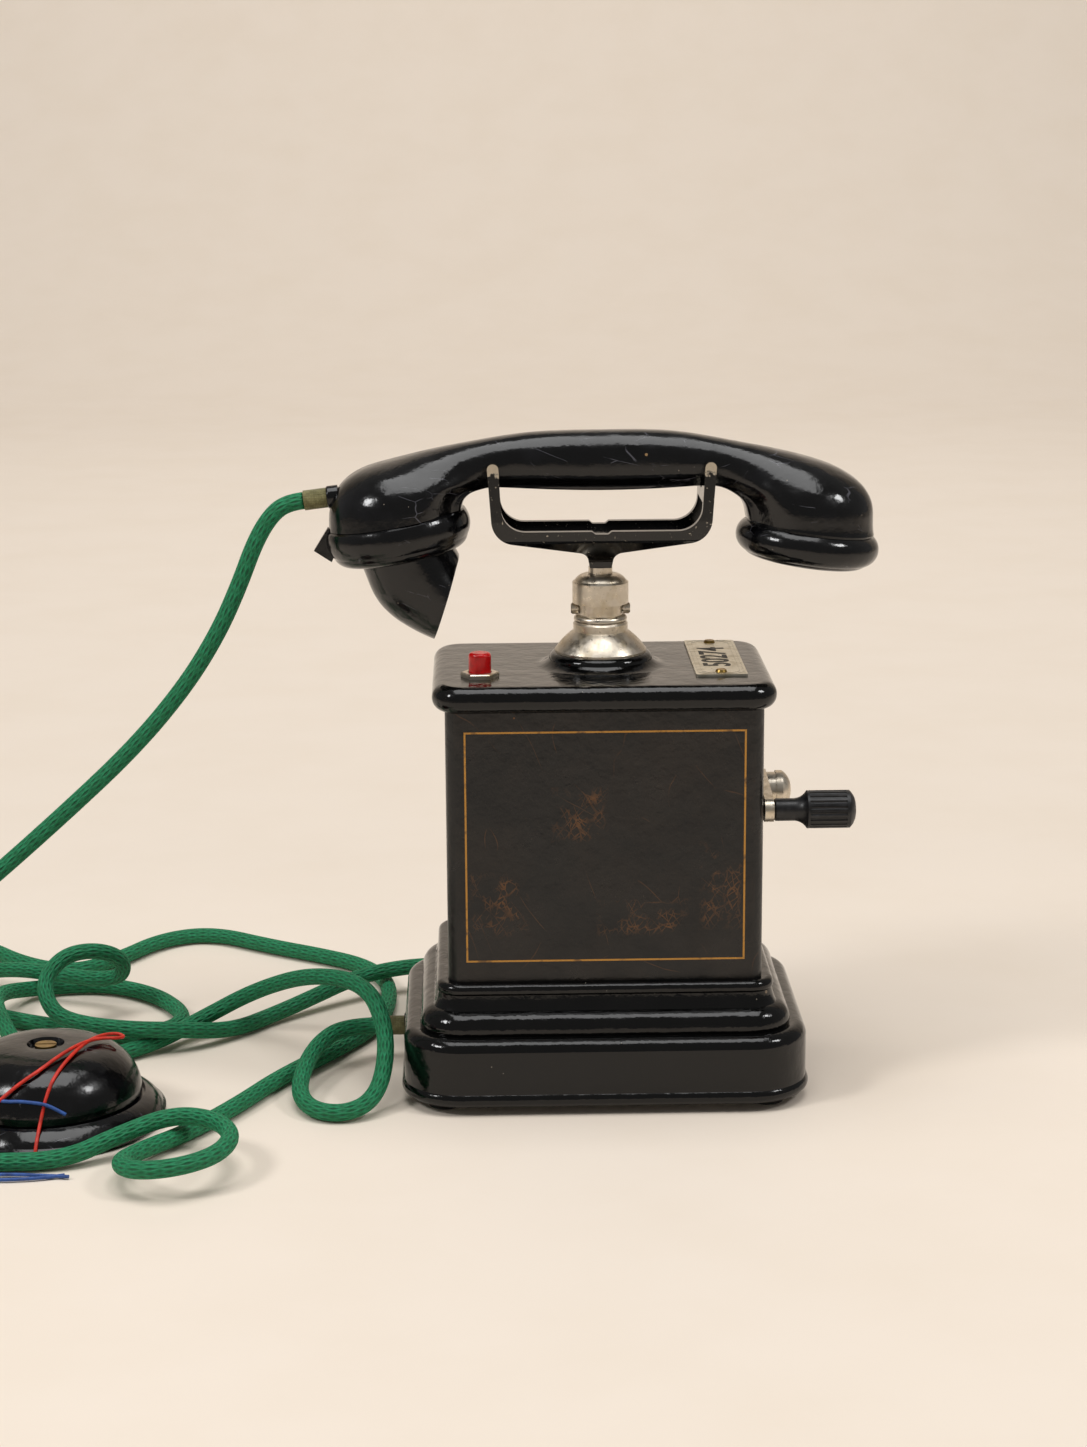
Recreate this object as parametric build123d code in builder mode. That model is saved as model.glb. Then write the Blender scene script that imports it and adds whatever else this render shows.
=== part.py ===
from build123d import *
import os
from math import cos, pi, radians, sin, tan

# Desk telephone with a hand-cranked magneto: stepped plinth, tall steel body, lid with a
# nickel column that carries the cradle, a handset with a scoop mouthpiece, and a wall rosette.
# Frame: +Z up, the user sits at -Y, the crank is on +X. Origin under the middle of the plinth,
# on the surface that the telephone stands on. All lengths are in millimetres.

# --- fits ---
run_gap = 0.08          # radial gap of a turning or sliding fit
seat_gap = 0.02         # radial gap of a piece fixed in its seat
body_gap = 0.3          # gap between pieces that move apart

# --- plinth ---
foot_height = 4.0
foot_radius = 8.0
foot_x = 70.0
foot_y = 50.0
body_width = 136.0
body_depth = 92.0
body_corner = 6.0
plinth_height = 53.8    # top face that the body stands on
plinth_overhang = 19.7  # how far the band stands out from the body
bead_height = 5.2
bead_bulge = 1.2
band_top = 28.2
shoulder_width = 6.2
shoulder_rise = 4.8
step_depth = 1.0
bulge_foot = 12.4       # outer reach of the swelling above the step, from the body
bulge_rise = 9.6
cove_reach = 4.6
torus_radius = 2.6
plinth_wall = 4.0
base_plate_thickness = 1.5
post_radius = 5.0
screw_radius = 1.6
base_screw_head = 3.2
base_screw_length = 12.0

# --- body and lid ---
sheet = 1.5
lid_overhang = 5.4
lid_height = 11.6
lid_corner = 13.0
body_top = 172.7        # underside of the lid's rolled edge
pedestal_radius = 28.5
pedestal_top_radius = 21.0
pedestal_height = 5.7

# --- column ---
stem_radius = 5.2
tube_radius = 9.6
foot_bell_radius = 20.0
foot_bell_height = 9.3
ring_radius = 11.9
ring_height = 6.9
neck_height = 5.3
cap_nut_radius = 12.2
cap_nut_height = 9.9
cap_dome = 2.8
neck_screw_radius = 2.9
neck_screw_reach = 12.9
column_nut_height = 4.0
column_nut_flats = 24.0

# --- cradle, heights above the underside of its hub ---
cradle_span = 93.2      # between the middles of the left and right prongs
prong_width = 4.9
prong_thick = 4.2
grip_room = 26.4        # clear width between the front and back prongs
hub_lift = 3.0          # bare stem between the cap nut and the cradle
hub_radius = 4.7
hub_neck = 6.9
arm_end = 13.6
arm_top = 17.9
arm_floor = 14.6
prong_top = 47.3
saddle_low = 29.6
saddle_high = 34.2
plunger_rod = 2.6
bracket_floor = 156.0   # underside of the bracket that carries the return spring
bracket_sheet = 2.0
blade_top = 154.0       # the contact blade that the rod presses on
blade_thick = 0.5
blade_gap = 2.4
blade_length = 38.0
blade_width = 7.0

# --- handset ---
handset_x = 0.8         # the handset lies this far to the right of the column
mouth_tilt = 10.1       # degrees
ear_tilt = -8.2
joint_radius = 29.3
ear_joint_radius = 28.1
shell_wall = 3.0
capsule_radius = 22.0
capsule_height = 12.0
mouth_cap_radius = 31.4
mouth_cap_height = 16.5
ear_cap_radius = 31.2
ear_cap_height = 15.6
horn_wall = 1.8
cord_collar_radius = 4.9
cord_collar_height = 5.0

# --- crank and magneto ---
crank_height = 126.3
crank_throw = 35.0
shaft_radius = 4.0
crank_arm_thickness = 3.9
crank_arm_gap = 1.0
arm_hub_radius = 9.2
arm_tip_radius = 5.2
crank_hub_radius = 7.8
crank_hub_length = 4.4
crank_cap_radius = 8.5
crank_cap_length = 6.8
bearing_radius = 10.5
knob_radius = 8.2
knob_neck_radius = 4.9
knob_neck_length = 14.0
knob_length = 35.0
knob_flutes = 20
grip_pin_radius = 2.0
gear_module = 1.25
drive_teeth = 56
pinion_teeth = 14
gear_width = 5.0
frame_half = 45.0       # from the middle of the magneto to the outside of its end plates
frame_plate = 2.0
armature_radius = 16.0
armature_half = 39.0
magnet_width = 22.0
magnet_thick = 9.0
magnet_half_span = 36.0
magnet_pitch = 26.0
pole_gap = 0.6
armature_shaft_radius = 3.0

# --- push button and number plate ---
button_x = -52.8
button_y = -24.6
button_radius = 4.85
button_stand = 10.5
button_flange_radius = 6.0
button_stem_radius = 2.2
housing_radius = 6.9
housing_depth = 18.0
nut_flats = 14.4
nut_height = 2.0
plate_x = 50.8
plate_y = 6.8
plate_width = 22.2
plate_length = 73.8
plate_thickness = 0.9
plate_screw_inset = 5.5

# --- ringer and small electrical pieces inside the plinth and the body ---
gong_radius = 22.0
gong_height = 13.0
gong_wall = 1.6
gong_x = 50.0
gong_y = 30.0
gong_height_top = 38.0
coil_radius = 8.5
coil_length = 32.0
clapper_x = 22.0
clapper_radius = 3.2
chassis_thickness = 2.0

# --- cords and rosette ---
cord_diameter = 7.5
sleeve_diameter = 8.6
sleeve_length = 10.0
gland_radius = 6.0
gland_stand = 1.0       # how far a gland stands out of the plinth
set_exit = (5.0, 17.0)  # y and z of the handset cord's gland, in the left flank
line_exit = (-54.0, 15.5)  # x and z of the line cord's gland, in the back
rosette_x = -240.0
rosette_y = -60.5
rosette_radius = 50.0
rosette_dome_radius = 40.0
rosette_flange_height = 11.0
rosette_height = 34.0
rosette_wall = 3.0
rosette_lip = 4.0       # upright edge at the foot of the flange
rosette_groove = 1.4    # gap between the dome's foot and the flange
rosette_dish = 8.0      # radius of the dished middle of the dome
rosette_entry = 6.0     # height of the cord's middle where it enters the flange

os.makedirs("parts", exist_ok=True)

# --- places that follow from the sizes above ---
lid_top = body_top + lid_height
lid_ceiling = lid_top - sheet
pedestal_top = lid_top + pedestal_height
ring_bottom = pedestal_top + foot_bell_height
neck_bottom = ring_bottom + ring_height
cap_bottom = neck_bottom + neck_height
cap_top = cap_bottom + cap_nut_height
hub_bottom = cap_top + cap_dome + hub_lift
tube_bottom = lid_ceiling - column_nut_height - 4.0
tube_top = cap_top - 2.0
plinth_x = body_width / 2 + plinth_overhang
plinth_y = body_depth / 2 + plinth_overhang
plinth_roof = plinth_height - plinth_wall
base_plate_top = foot_height + base_plate_thickness
centre_distance = gear_module * (drive_teeth + pinion_teeth) / 2
armature_height = crank_height - centre_distance
chassis_top = plinth_height + chassis_thickness
side_wall = body_width / 2
frame_screw_x = frame_half + 6
frame_screw_y = 20.0
crank_arm_x = side_wall + crank_arm_gap
crank_hub_x = crank_arm_x + crank_arm_thickness
crank_cap_x = crank_hub_x + crank_hub_length
left_flank = Plane((-plinth_x, *set_exit), x_dir=(0, 1, 0), z_dir=(-1, 0, 0))
back_flank = Plane((line_exit[0], plinth_y, line_exit[1]), x_dir=(1, 0, 0), z_dir=(0, 1, 0))


def save(part, name):
    part.label = name
    export_step(part, f"parts/{name}.step")


# ================= plinth: a moulded skirt swept round the body =================
with BuildPart() as plinth:
    with BuildLine(Plane.XY) as skirt_path:
        half_w = body_width / 2
        half_d = body_depth / 2
        Line((0, -half_d), (half_w - body_corner, -half_d))
        CenterArc((half_w - body_corner, body_corner - half_d), body_corner, -90, 90)
        Line((half_w, body_corner - half_d), (half_w, half_d - body_corner))
        CenterArc((half_w - body_corner, half_d - body_corner), body_corner, 0, 90)
        Line((half_w - body_corner, half_d), (0, half_d))
    skirt_plane = Plane(origin=(0, -half_d, 0), x_dir=(0, -1, 0), z_dir=(-1, 0, 0))
    with BuildSketch(skirt_plane) as skirt_profile:
        with BuildLine():
            bead_top = foot_height + bead_height
            shoulder_in = plinth_overhang - shoulder_width
            step_z = band_top + shoulder_rise
            bulge_top = step_z + bulge_rise
            torus_z = plinth_height - 2 * torus_radius
            Line((-body_corner + 0.6, plinth_height), (torus_radius, plinth_height))
            ThreePointArc(
                (torus_radius, plinth_height),
                (2 * torus_radius, plinth_height - torus_radius),
                (cove_reach, torus_z + 0.4),
            )
            ThreePointArc(
                (cove_reach, torus_z + 0.4),
                (cove_reach + 0.3, torus_z - 1.6),
                (cove_reach + 2.0, bulge_top),
            )
            ThreePointArc(
                (cove_reach + 2.0, bulge_top),
                (bulge_foot - 0.9, bulge_top - 3.8),
                (bulge_foot, step_z),
            )
            Line((bulge_foot, step_z), (shoulder_in, step_z))
            ThreePointArc(
                (shoulder_in, step_z),
                (shoulder_in + 0.72 * shoulder_width, band_top + 0.7 * shoulder_rise),
                (plinth_overhang, band_top),
            )
            Line((plinth_overhang, band_top), (plinth_overhang, bead_top))
            ThreePointArc(
                (plinth_overhang, bead_top),
                (plinth_overhang + bead_bulge, foot_height + bead_height / 2),
                (plinth_overhang, foot_height),
            )
            Polyline(
                (plinth_overhang, foot_height),
                (plinth_overhang - plinth_wall, foot_height),
                (plinth_overhang - plinth_wall, band_top - 3),
                (shoulder_in - 2, band_top),
                (1.0, plinth_roof),
                (-body_corner + 0.6, plinth_roof),
                (-body_corner + 0.6, plinth_height),
            )
        make_face()
    sweep(path=skirt_path.line)
    mirror(about=Plane.YZ)
    with BuildSketch(Plane.XY.offset(plinth_roof)):
        Rectangle(body_width - 2 * body_corner + 2, body_depth - 2 * body_corner + 2)
    extrude(amount=plinth_wall)
    with BuildSketch(Plane.XY.offset(base_plate_top)):
        with GridLocations(2 * foot_x, 2 * foot_y, 2, 2):
            Circle(post_radius)
    extrude(amount=step_z - 1 - base_plate_top)
    with BuildSketch(Plane.XY.offset(base_plate_top)):
        with GridLocations(2 * foot_x, 2 * foot_y, 2, 2):
            Circle(screw_radius + seat_gap)
    extrude(amount=base_screw_length, mode=Mode.SUBTRACT)
    with BuildSketch(left_flank):
        Circle(gland_radius + seat_gap)
    extrude(amount=-plinth_wall - 1, mode=Mode.SUBTRACT)
    with BuildSketch(back_flank):
        Circle(gland_radius + seat_gap)
    extrude(amount=-plinth_wall - 1, mode=Mode.SUBTRACT)
save(plinth.part, "plinth")

with BuildPart() as base_plate:
    with BuildSketch(Plane.XY.offset(foot_height)):
        plate_margin = plinth_wall + body_gap
        RectangleRounded(
            2 * (plinth_x - plate_margin),
            2 * (plinth_y - plate_margin),
            body_corner + plinth_overhang - plate_margin,
        )
        with GridLocations(2 * foot_x, 2 * foot_y, 2, 2):
            Circle(screw_radius + seat_gap, mode=Mode.SUBTRACT)
    extrude(amount=base_plate_thickness)
save(base_plate.part, "base_plate")

with BuildPart() as feet:
    standing = (Align.CENTER, Align.CENTER, Align.MIN)
    with GridLocations(2 * foot_x, 2 * foot_y, 2, 2):
        Cone(foot_radius - 1, foot_radius, foot_height, align=standing)
        Cylinder(base_screw_head + seat_gap, foot_height, align=standing, mode=Mode.SUBTRACT)
save(feet.part, "rubber_feet")

# ================= steel body and lid =================
with BuildPart() as body_shell:
    with BuildSketch(Plane.XY.offset(plinth_height)):
        RectangleRounded(body_width, body_depth, body_corner)
    extrude(amount=lid_ceiling - plinth_height)
    with BuildSketch(Plane.XY.offset(plinth_height)):
        RectangleRounded(body_width - 2 * sheet, body_depth - 2 * sheet, body_corner - sheet)
    extrude(amount=lid_ceiling - plinth_height, mode=Mode.SUBTRACT)
    with BuildSketch(Plane.YZ.offset(side_wall)):
        with Locations((0, crank_height)):
            Circle(crank_hub_radius + seat_gap)
    extrude(amount=-2 * sheet, mode=Mode.SUBTRACT)
save(body_shell.part, "body_shell")

with BuildPart() as lid:
    with BuildSketch(Plane.XY.offset(body_top)):
        RectangleRounded(
            body_width + 2 * lid_overhang, body_depth + 2 * lid_overhang, lid_corner
        )
    extrude(amount=lid_height)
    rim = lid.edges().group_by(Axis.Z)
    fillet(rim[-1] + rim[0], lid_height / 2 - 0.1)
    with BuildSketch(Plane.XZ):
        with BuildLine():
            Line((0, lid_top - 1), (0, pedestal_top))
            Line((0, pedestal_top), (pedestal_top_radius - 1, pedestal_top))
            ThreePointArc(
                (pedestal_top_radius - 1, pedestal_top),
                (pedestal_top_radius + 0.7, pedestal_top - 1),
                (pedestal_top_radius + 1.6, pedestal_top - 3),
            )
            ThreePointArc(
                (pedestal_top_radius + 1.6, pedestal_top - 3),
                (pedestal_radius - 3.2, lid_top + 0.7),
                (pedestal_radius, lid_top),
            )
            Polyline((pedestal_radius, lid_top), (pedestal_radius, lid_top - 1), (0, lid_top - 1))
        make_face()
    revolve(axis=Axis.Z)
    with BuildSketch(Plane.XY.offset(body_top)):
        RectangleRounded(body_width + body_gap, body_depth + body_gap, body_corner)
    extrude(amount=lid_ceiling - body_top, mode=Mode.SUBTRACT)
    with BuildSketch(Plane.XY.offset(lid_ceiling)):
        Circle(tube_radius + seat_gap)
        with Locations((button_x, button_y)):
            Circle(housing_radius + seat_gap)
        with Locations((plate_x, plate_y)):
            with GridLocations(0, plate_length - 2 * plate_screw_inset, 1, 2):
                Circle(screw_radius)
    extrude(amount=pedestal_height + 2 * sheet, mode=Mode.SUBTRACT)
save(lid.part, "lid")

with BuildPart() as chassis:
    with BuildSketch(Plane.XY.offset(plinth_height)):
        inside_w = body_width - 2 * sheet - 2 * body_gap
        inside_d = body_depth - 2 * sheet - 2 * body_gap
        RectangleRounded(inside_w, inside_d, body_corner - sheet)
        with GridLocations(2 * frame_screw_x, 2 * frame_screw_y, 2, 2):
            Circle(grip_pin_radius + seat_gap, mode=Mode.SUBTRACT)
    extrude(amount=chassis_thickness)
save(chassis.part, "chassis_plate")

# ================= nickel column =================
bore = stem_radius + run_gap

with BuildPart() as column_tube:
    with BuildSketch(Plane.XY.offset(tube_bottom)):
        Circle(tube_radius)
        Circle(bore, mode=Mode.SUBTRACT)
    extrude(amount=tube_top - tube_bottom)
    with BuildSketch(Plane.YZ):
        with Locations((0, (neck_bottom + cap_bottom) / 2)):
            Circle(screw_radius + seat_gap)
    extrude(amount=tube_radius + 1, both=True, mode=Mode.SUBTRACT)
save(column_tube.part, "column_tube")

with BuildPart() as column_foot:
    with BuildSketch(Plane.XZ):
        with BuildLine():
            inner = tube_radius + seat_gap
            foot_rim = pedestal_top + 0.9
            Line((inner, pedestal_top), (foot_bell_radius, pedestal_top))
            Line((foot_bell_radius, pedestal_top), (foot_bell_radius, foot_rim))
            ThreePointArc(
                (foot_bell_radius, foot_rim),
                (foot_bell_radius - 3.6, pedestal_top + 5.4),
                (ring_radius, ring_bottom),
            )
            Polyline((ring_radius, ring_bottom), (inner, ring_bottom), (inner, pedestal_top))
        make_face()
    revolve(axis=Axis.Z)
save(column_foot.part, "column_foot")

with BuildPart() as column_ring:
    with BuildSketch(Plane.XZ):
        with BuildLine():
            round_from = neck_bottom - 3.0
            Polyline(
                (inner, neck_bottom),
                (inner, ring_bottom),
                (ring_radius, ring_bottom),
                (ring_radius, round_from - 0.8),
                (ring_radius - 0.7, round_from),
            )
            ThreePointArc(
                (ring_radius - 0.7, round_from),
                (ring_radius - 0.4, round_from + 1.8),
                (ring_radius - 1.8, neck_bottom),
            )
            Line((ring_radius - 1.8, neck_bottom), (inner, neck_bottom))
        make_face()
    revolve(axis=Axis.Z)
save(column_ring.part, "column_ring")

with BuildPart() as cap_nut:
    with BuildSketch(Plane.XZ):
        with BuildLine():
            dome_rim = cap_nut_radius - 1.0
            Polyline(
                (bore, cap_top + cap_dome),
                (bore, tube_top + seat_gap),
                (inner, tube_top + seat_gap),
                (inner, cap_bottom),
                (cap_nut_radius, cap_bottom),
                (cap_nut_radius, cap_top - 0.8),
                (dome_rim, cap_top),
            )
            ThreePointArc(
                (dome_rim, cap_top),
                (0.78 * cap_nut_radius, cap_top + 0.62 * cap_dome),
                (bore + 0.8, cap_top + cap_dome),
            )
            Line((bore + 0.8, cap_top + cap_dome), (bore, cap_top + cap_dome))
        make_face()
    revolve(axis=Axis.Z)
save(cap_nut.part, "cap_nut")

with BuildPart() as neck_screws:
    screw_z = (neck_bottom + cap_bottom) / 2
    with BuildSketch(Plane.YZ.offset(tube_radius - 2.6)):
        with Locations((0, screw_z)):
            Circle(screw_radius)
    extrude(amount=2.8)
    with BuildSketch(Plane.YZ.offset(tube_radius + 0.2)):
        with Locations((0, screw_z)):
            Circle(neck_screw_radius - 0.4)
    extrude(amount=neck_screw_reach - tube_radius - 0.2)
    chamfer(neck_screws.edges().filter_by(GeomType.CIRCLE).sort_by(Axis.X)[-1], 0.6)
    mirror(about=Plane.YZ)
save(neck_screws.part, "neck_screws")

with BuildPart() as column_nut:
    with BuildSketch(Plane.XY.offset(lid_ceiling - column_nut_height)):
        RegularPolygon(column_nut_flats / 2, 6, major_radius=False)
        Circle(inner, mode=Mode.SUBTRACT)
    extrude(amount=column_nut_height)
save(column_nut.part, "column_nut")

# ================= cradle =================
with BuildPart() as cradle:
    prong_mid = cradle_span / 2
    prong_out = prong_mid + prong_width / 2
    prong_in = prong_mid - prong_width / 2
    fork_half = grip_room / 2 + prong_thick
    tip_z = hub_bottom + prong_top
    with BuildSketch(Plane.XZ) as front_profile:
        with BuildLine():
            FilletPolyline(
                (0, hub_bottom),
                (hub_radius, hub_bottom),
                (hub_radius + 1.3, hub_bottom + hub_neck),
                (prong_out - 2.4, hub_bottom + arm_end),
                (prong_out, tip_z),
                (prong_in, tip_z),
                (prong_in - 1.6, hub_bottom + arm_top),
                (4.2, hub_bottom + arm_top),
                (2.8, hub_bottom + arm_top - 1.2),
                (0, hub_bottom + arm_top - 1.2),
                radius=[0, 4.5, 11, 2.3, 2.3, 10.5, 1, 1],
            )
            Line((0, hub_bottom + arm_top - 1.2), (0, hub_bottom))
        make_face()
        mirror(about=Plane.YZ)
    extrude(amount=fork_half, both=True)
    with BuildSketch(Plane.YZ) as side_profile:
        with BuildLine():
            FilletPolyline(
                (0, hub_bottom),
                (hub_radius, hub_bottom),
                (hub_radius + 0.5, hub_bottom + 3.5),
                (fork_half - 1, hub_bottom + arm_end),
                (fork_half, hub_bottom + arm_top + 4),
                (fork_half, tip_z),
                (0, tip_z),
                radius=[0, 4, 5, 8, 0],
            )
            Line((0, tip_z), (0, hub_bottom))
        make_face()
        mirror(about=Plane.YZ)
    extrude(amount=prong_out + 1, both=True, mode=Mode.INTERSECT)
    with BuildSketch(Plane.YZ):
        saddle_centre = hub_bottom + saddle_high + grip_room / 2
        with Locations((0, saddle_centre)):
            Circle(grip_room / 2)
            Rectangle(grip_room, tip_z - saddle_centre + 1, align=(Align.CENTER, Align.MIN))
        with Locations((0, hub_bottom + arm_floor)):
            Rectangle(grip_room, saddle_low - arm_floor, align=(Align.CENTER, Align.MIN))
    extrude(amount=prong_out + 2, both=True, mode=Mode.SUBTRACT)
save(cradle.part, "cradle")

with BuildPart() as plunger:
    with BuildSketch(Plane.XY.offset(tube_bottom - 2)):
        Circle(stem_radius)
    extrude(amount=hub_bottom - tube_bottom + 2)
    with BuildSketch(Plane.XY.offset(tube_bottom - 2)):
        Circle(plunger_rod)
    extrude(amount=blade_top + 0.2 - (tube_bottom - 2))
save(plunger.part, "plunger")

with BuildPart() as switch_bracket:
    wall_out = column_nut_flats / 2 + 5
    with BuildSketch(Plane.YZ):
        with Locations((0, bracket_floor)):
            Rectangle(2 * wall_out, lid_ceiling - bracket_floor, align=(Align.CENTER, Align.MIN))
        with Locations((0, bracket_floor + bracket_sheet)):
            Rectangle(2 * (wall_out - bracket_sheet), 60, align=(Align.CENTER, Align.MIN), mode=Mode.SUBTRACT)
    extrude(amount=12, both=True)
    with BuildSketch(Plane.XY.offset(bracket_floor)):
        with Locations((12, 0)):
            Rectangle(blade_length - 4, 2 * wall_out - 12, align=(Align.MIN, Align.CENTER))
    extrude(amount=bracket_sheet)
    with BuildSketch(Plane.XY.offset(bracket_floor)):
        Circle(plunger_rod + 0.3)
    extrude(amount=bracket_sheet, mode=Mode.SUBTRACT)
save(switch_bracket.part, "switch_bracket")

with BuildPart() as return_spring:
    spring_seat = bracket_floor + bracket_sheet
    with BuildSketch(Plane.XY.offset(spring_seat)):
        Circle(stem_radius - 0.4)
        Circle(stem_radius - 1.6, mode=Mode.SUBTRACT)
    extrude(amount=tube_bottom - 2 - spring_seat)
save(return_spring.part, "return_spring")

with BuildPart() as switch_blades:
    stack_start = blade_length - 14
    with BuildSketch(Plane.XZ):
        for height in (blade_top - blade_thick, blade_top - 2 * blade_thick - blade_gap):
            with Locations((-4, height)):
                Rectangle(blade_length + 6, blade_thick, align=(Align.MIN, Align.MIN))
        with Locations((2, blade_top - blade_thick - blade_gap)):
            Rectangle(2.4, blade_gap / 2, align=(Align.CENTER, Align.MIN))
    extrude(amount=blade_width / 2, both=True)
    with BuildSketch(Plane.XZ):
        with Locations((stack_start, blade_top)):
            Rectangle(14, bracket_floor - blade_top, align=(Align.MIN, Align.MIN))
        with Locations((stack_start, blade_top - blade_thick - blade_gap)):
            Rectangle(14, blade_gap, align=(Align.MIN, Align.MIN))
    extrude(amount=blade_width / 2 + 1, both=True)
save(switch_blades.part, "switch_blades")

# ================= handset =================
def head_plane(x, z, tilt):
    """Section plane of a handset cap: local x across, local y along the cap's axis, outwards."""
    turn = radians(tilt)
    return Plane(origin=(x + handset_x, 0, z), x_dir=(cos(turn), 0, sin(turn)), z_dir=(0, 1, 0))


def head_axis(section):
    return Axis(section.origin, section.y_dir)


def across(section, depth):
    """The plane across a cap's axis, at a depth from the joint, facing outwards."""
    return Plane(section.origin + section.y_dir * depth, x_dir=section.x_dir, z_dir=section.y_dir)


def station(upper, lower, half_width):
    """An oval between an upper and a lower point of a side view."""
    top = Vector(upper[0] + handset_x, 0, upper[1])
    low = Vector(lower[0] + handset_x, 0, lower[1])
    rise = top - low
    reach = rise.length / 2
    near = [pi * step / 6 for step in range(7)]
    far = [pi + turn for turn in near]
    with BuildSketch(Plane((top + low) * 0.5, x_dir=rise, z_dir=Vector(0, 1, 0).cross(rise))) as ring:
        with BuildLine():
            Spline(
                *[(reach * cos(turn), half_width * sin(turn)) for turn in near],
                tangents=[(0, 1), (0, -1)],
            )
            Spline(
                *[(reach * cos(turn), half_width * sin(turn)) for turn in far],
                tangents=[(0, -1), (0, 1)],
            )
        make_face()
    return ring.sketch.face()


def joint_row(section, left, right, half_width, depth=0):
    """A station that lies square to a cap's axis, from its left to its right edge."""
    ends = [section.from_local_coords((reach, depth, 0)) for reach in (left, right)]
    return (ends[0].X - handset_x, ends[0].Z), (ends[1].X - handset_x, ends[1].Z), half_width


mouth = head_plane(-89.2, 249.4, mouth_tilt)
ear = head_plane(90.0, 244.6, ear_tilt)

handset_stations = [
    joint_row(mouth, -joint_radius, joint_radius, joint_radius),
    ((-117.7, 252.2), (-59.9, 256.9), 29.0),
    ((-113.6, 262.8), (-58.6, 259.2), 27.2),
    ((-105.4, 269.5), (-56.4, 260.9), 24.2),
    ((-91.6, 274.2), (-53.4, 261.9), 20.0),
    ((-75.0, 278.4), (-50.5, 262.4), 15.6),
    ((-58.0, 281.8), (-46.5, 262.6), 12.4),
    ((-36.0, 285.2), (-33.0, 262.0), 12.0),
    ((0.0, 286.5), (0.0, 261.0), 12.0),
    ((36.0, 285.1), (33.0, 262.0), 12.0),
    ((58.0, 281.1), (46.5, 262.5), 12.4),
    ((75.0, 277.6), (52.0, 261.6), 15.6),
    ((91.5, 273.2), (55.8, 259.8), 20.0),
    ((104.5, 267.8), (58.8, 257.6), 24.0),
    ((113.0, 261.2), (60.6, 255.0), 26.8),
    ((117.0, 252.5), (61.6, 251.6), 28.0),
    joint_row(ear, ear_joint_radius, -ear_joint_radius, ear_joint_radius),
]

with BuildPart() as handset_shell:
    loft([station(*row) for row in handset_stations])
    pocket = capsule_radius + body_gap
    with BuildSketch(across(mouth, 1)):
        Circle(pocket)
    extrude(amount=-1 - capsule_height, mode=Mode.SUBTRACT)
    with BuildSketch(across(ear, 1)):
        Circle(pocket)
    extrude(amount=-1 - capsule_height, mode=Mode.SUBTRACT)
    collar_seat = Plane(
        (-116.2 + handset_x, 0, 258.8), x_dir=(0, 1, 0), z_dir=(-cos(radians(7)), 0, -sin(radians(7)))
    )
    with BuildSketch(collar_seat.offset(-cord_collar_height + 2.4)):
        Circle(cord_collar_radius + seat_gap)
    extrude(amount=10, mode=Mode.SUBTRACT)
save(handset_shell.part, "handset_shell")

with BuildPart() as cord_collar:
    with BuildSketch(collar_seat.offset(-cord_collar_height + 2.4)):
        Circle(cord_collar_radius)
    extrude(amount=cord_collar_height)
    fillet(cord_collar.edges().sort_by(Axis.X)[0], 0.8)
save(cord_collar.part, "cord_collar")

with BuildPart() as handset_sleeve:
    with BuildSketch(collar_seat.offset(2.4)):
        Circle(sleeve_diameter / 2)
    extrude(amount=sleeve_length)
save(handset_sleeve.part, "handset_sleeve")


def capsule(section, front, name):
    """A stepped round capsule in a head's pocket, with a raised rim and a centre boss."""
    with BuildPart() as made:
        with BuildSketch(section):
            with BuildLine():
                Polyline(
                    (0, -capsule_height),
                    (capsule_radius - 2, -capsule_height),
                    (capsule_radius, 2 - capsule_height),
                    (capsule_radius, -1.5),
                    (capsule_radius - 1.5, 0),
                    (capsule_radius - 4, 0),
                    (front, -1.2),
                    (front - 1, -0.4),
                    (0, -0.4),
                    (0, -capsule_height),
                )
            make_face()
        revolve(axis=head_axis(section))
    save(made.part, name)
    return made


transmitter = capsule(mouth, 12, "transmitter_capsule")
receiver = capsule(ear, 7, "receiver_capsule")

with BuildPart() as ear_diaphragm:
    with BuildSketch(across(ear, 0)):
        Circle(capsule_radius + 2)
    extrude(amount=0.6)
save(ear_diaphragm.part, "ear_diaphragm")

with BuildPart() as mouth_cap:
    with BuildSketch(mouth):
        with BuildLine():
            wide = mouth_cap_radius
            deep = mouth_cap_height
            Polyline((joint_radius - 5, 0.05), (joint_radius - 0.4, 0.05), (wide - 1.2, 0.9))
            ThreePointArc((wide - 1.2, 0.9), (wide, 7.0), (wide - 2.0, 12.2))
            ThreePointArc((wide - 2.0, 12.2), (wide - 4.4, deep - 1.0), (wide - 7.6, deep))
            Polyline(
                (wide - 7.6, deep),
                (0, deep),
                (0, deep - shell_wall),
                (joint_radius - 8, deep - shell_wall),
                (joint_radius - 5, deep - shell_wall - 3),
                (joint_radius - 5, 0.05),
            )
        make_face()
    revolve(axis=head_axis(mouth))
    with BuildSketch(across(mouth, deep)):
        with PolarLocations(7, 6):
            Circle(1.8)
        Circle(1.8)
    extrude(amount=-shell_wall - 1, mode=Mode.SUBTRACT)
    with BuildSketch(Plane.XZ):
        nose = mouth.origin + mouth.x_dir * (-wide + 1.5)
        with BuildLine():
            Polyline(
                (nose.X, nose.Z + 1.2),
                (nose.X - 6.0, nose.Z - 8.4),
                (nose.X + 1.6, nose.Z - 13.4),
                (nose.X + 5.0, nose.Z - 6.0),
                (nose.X, nose.Z + 1.2),
            )
        make_face()
    extrude(amount=3.2, both=True)
save(mouth_cap.part, "mouth_cap")

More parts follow.
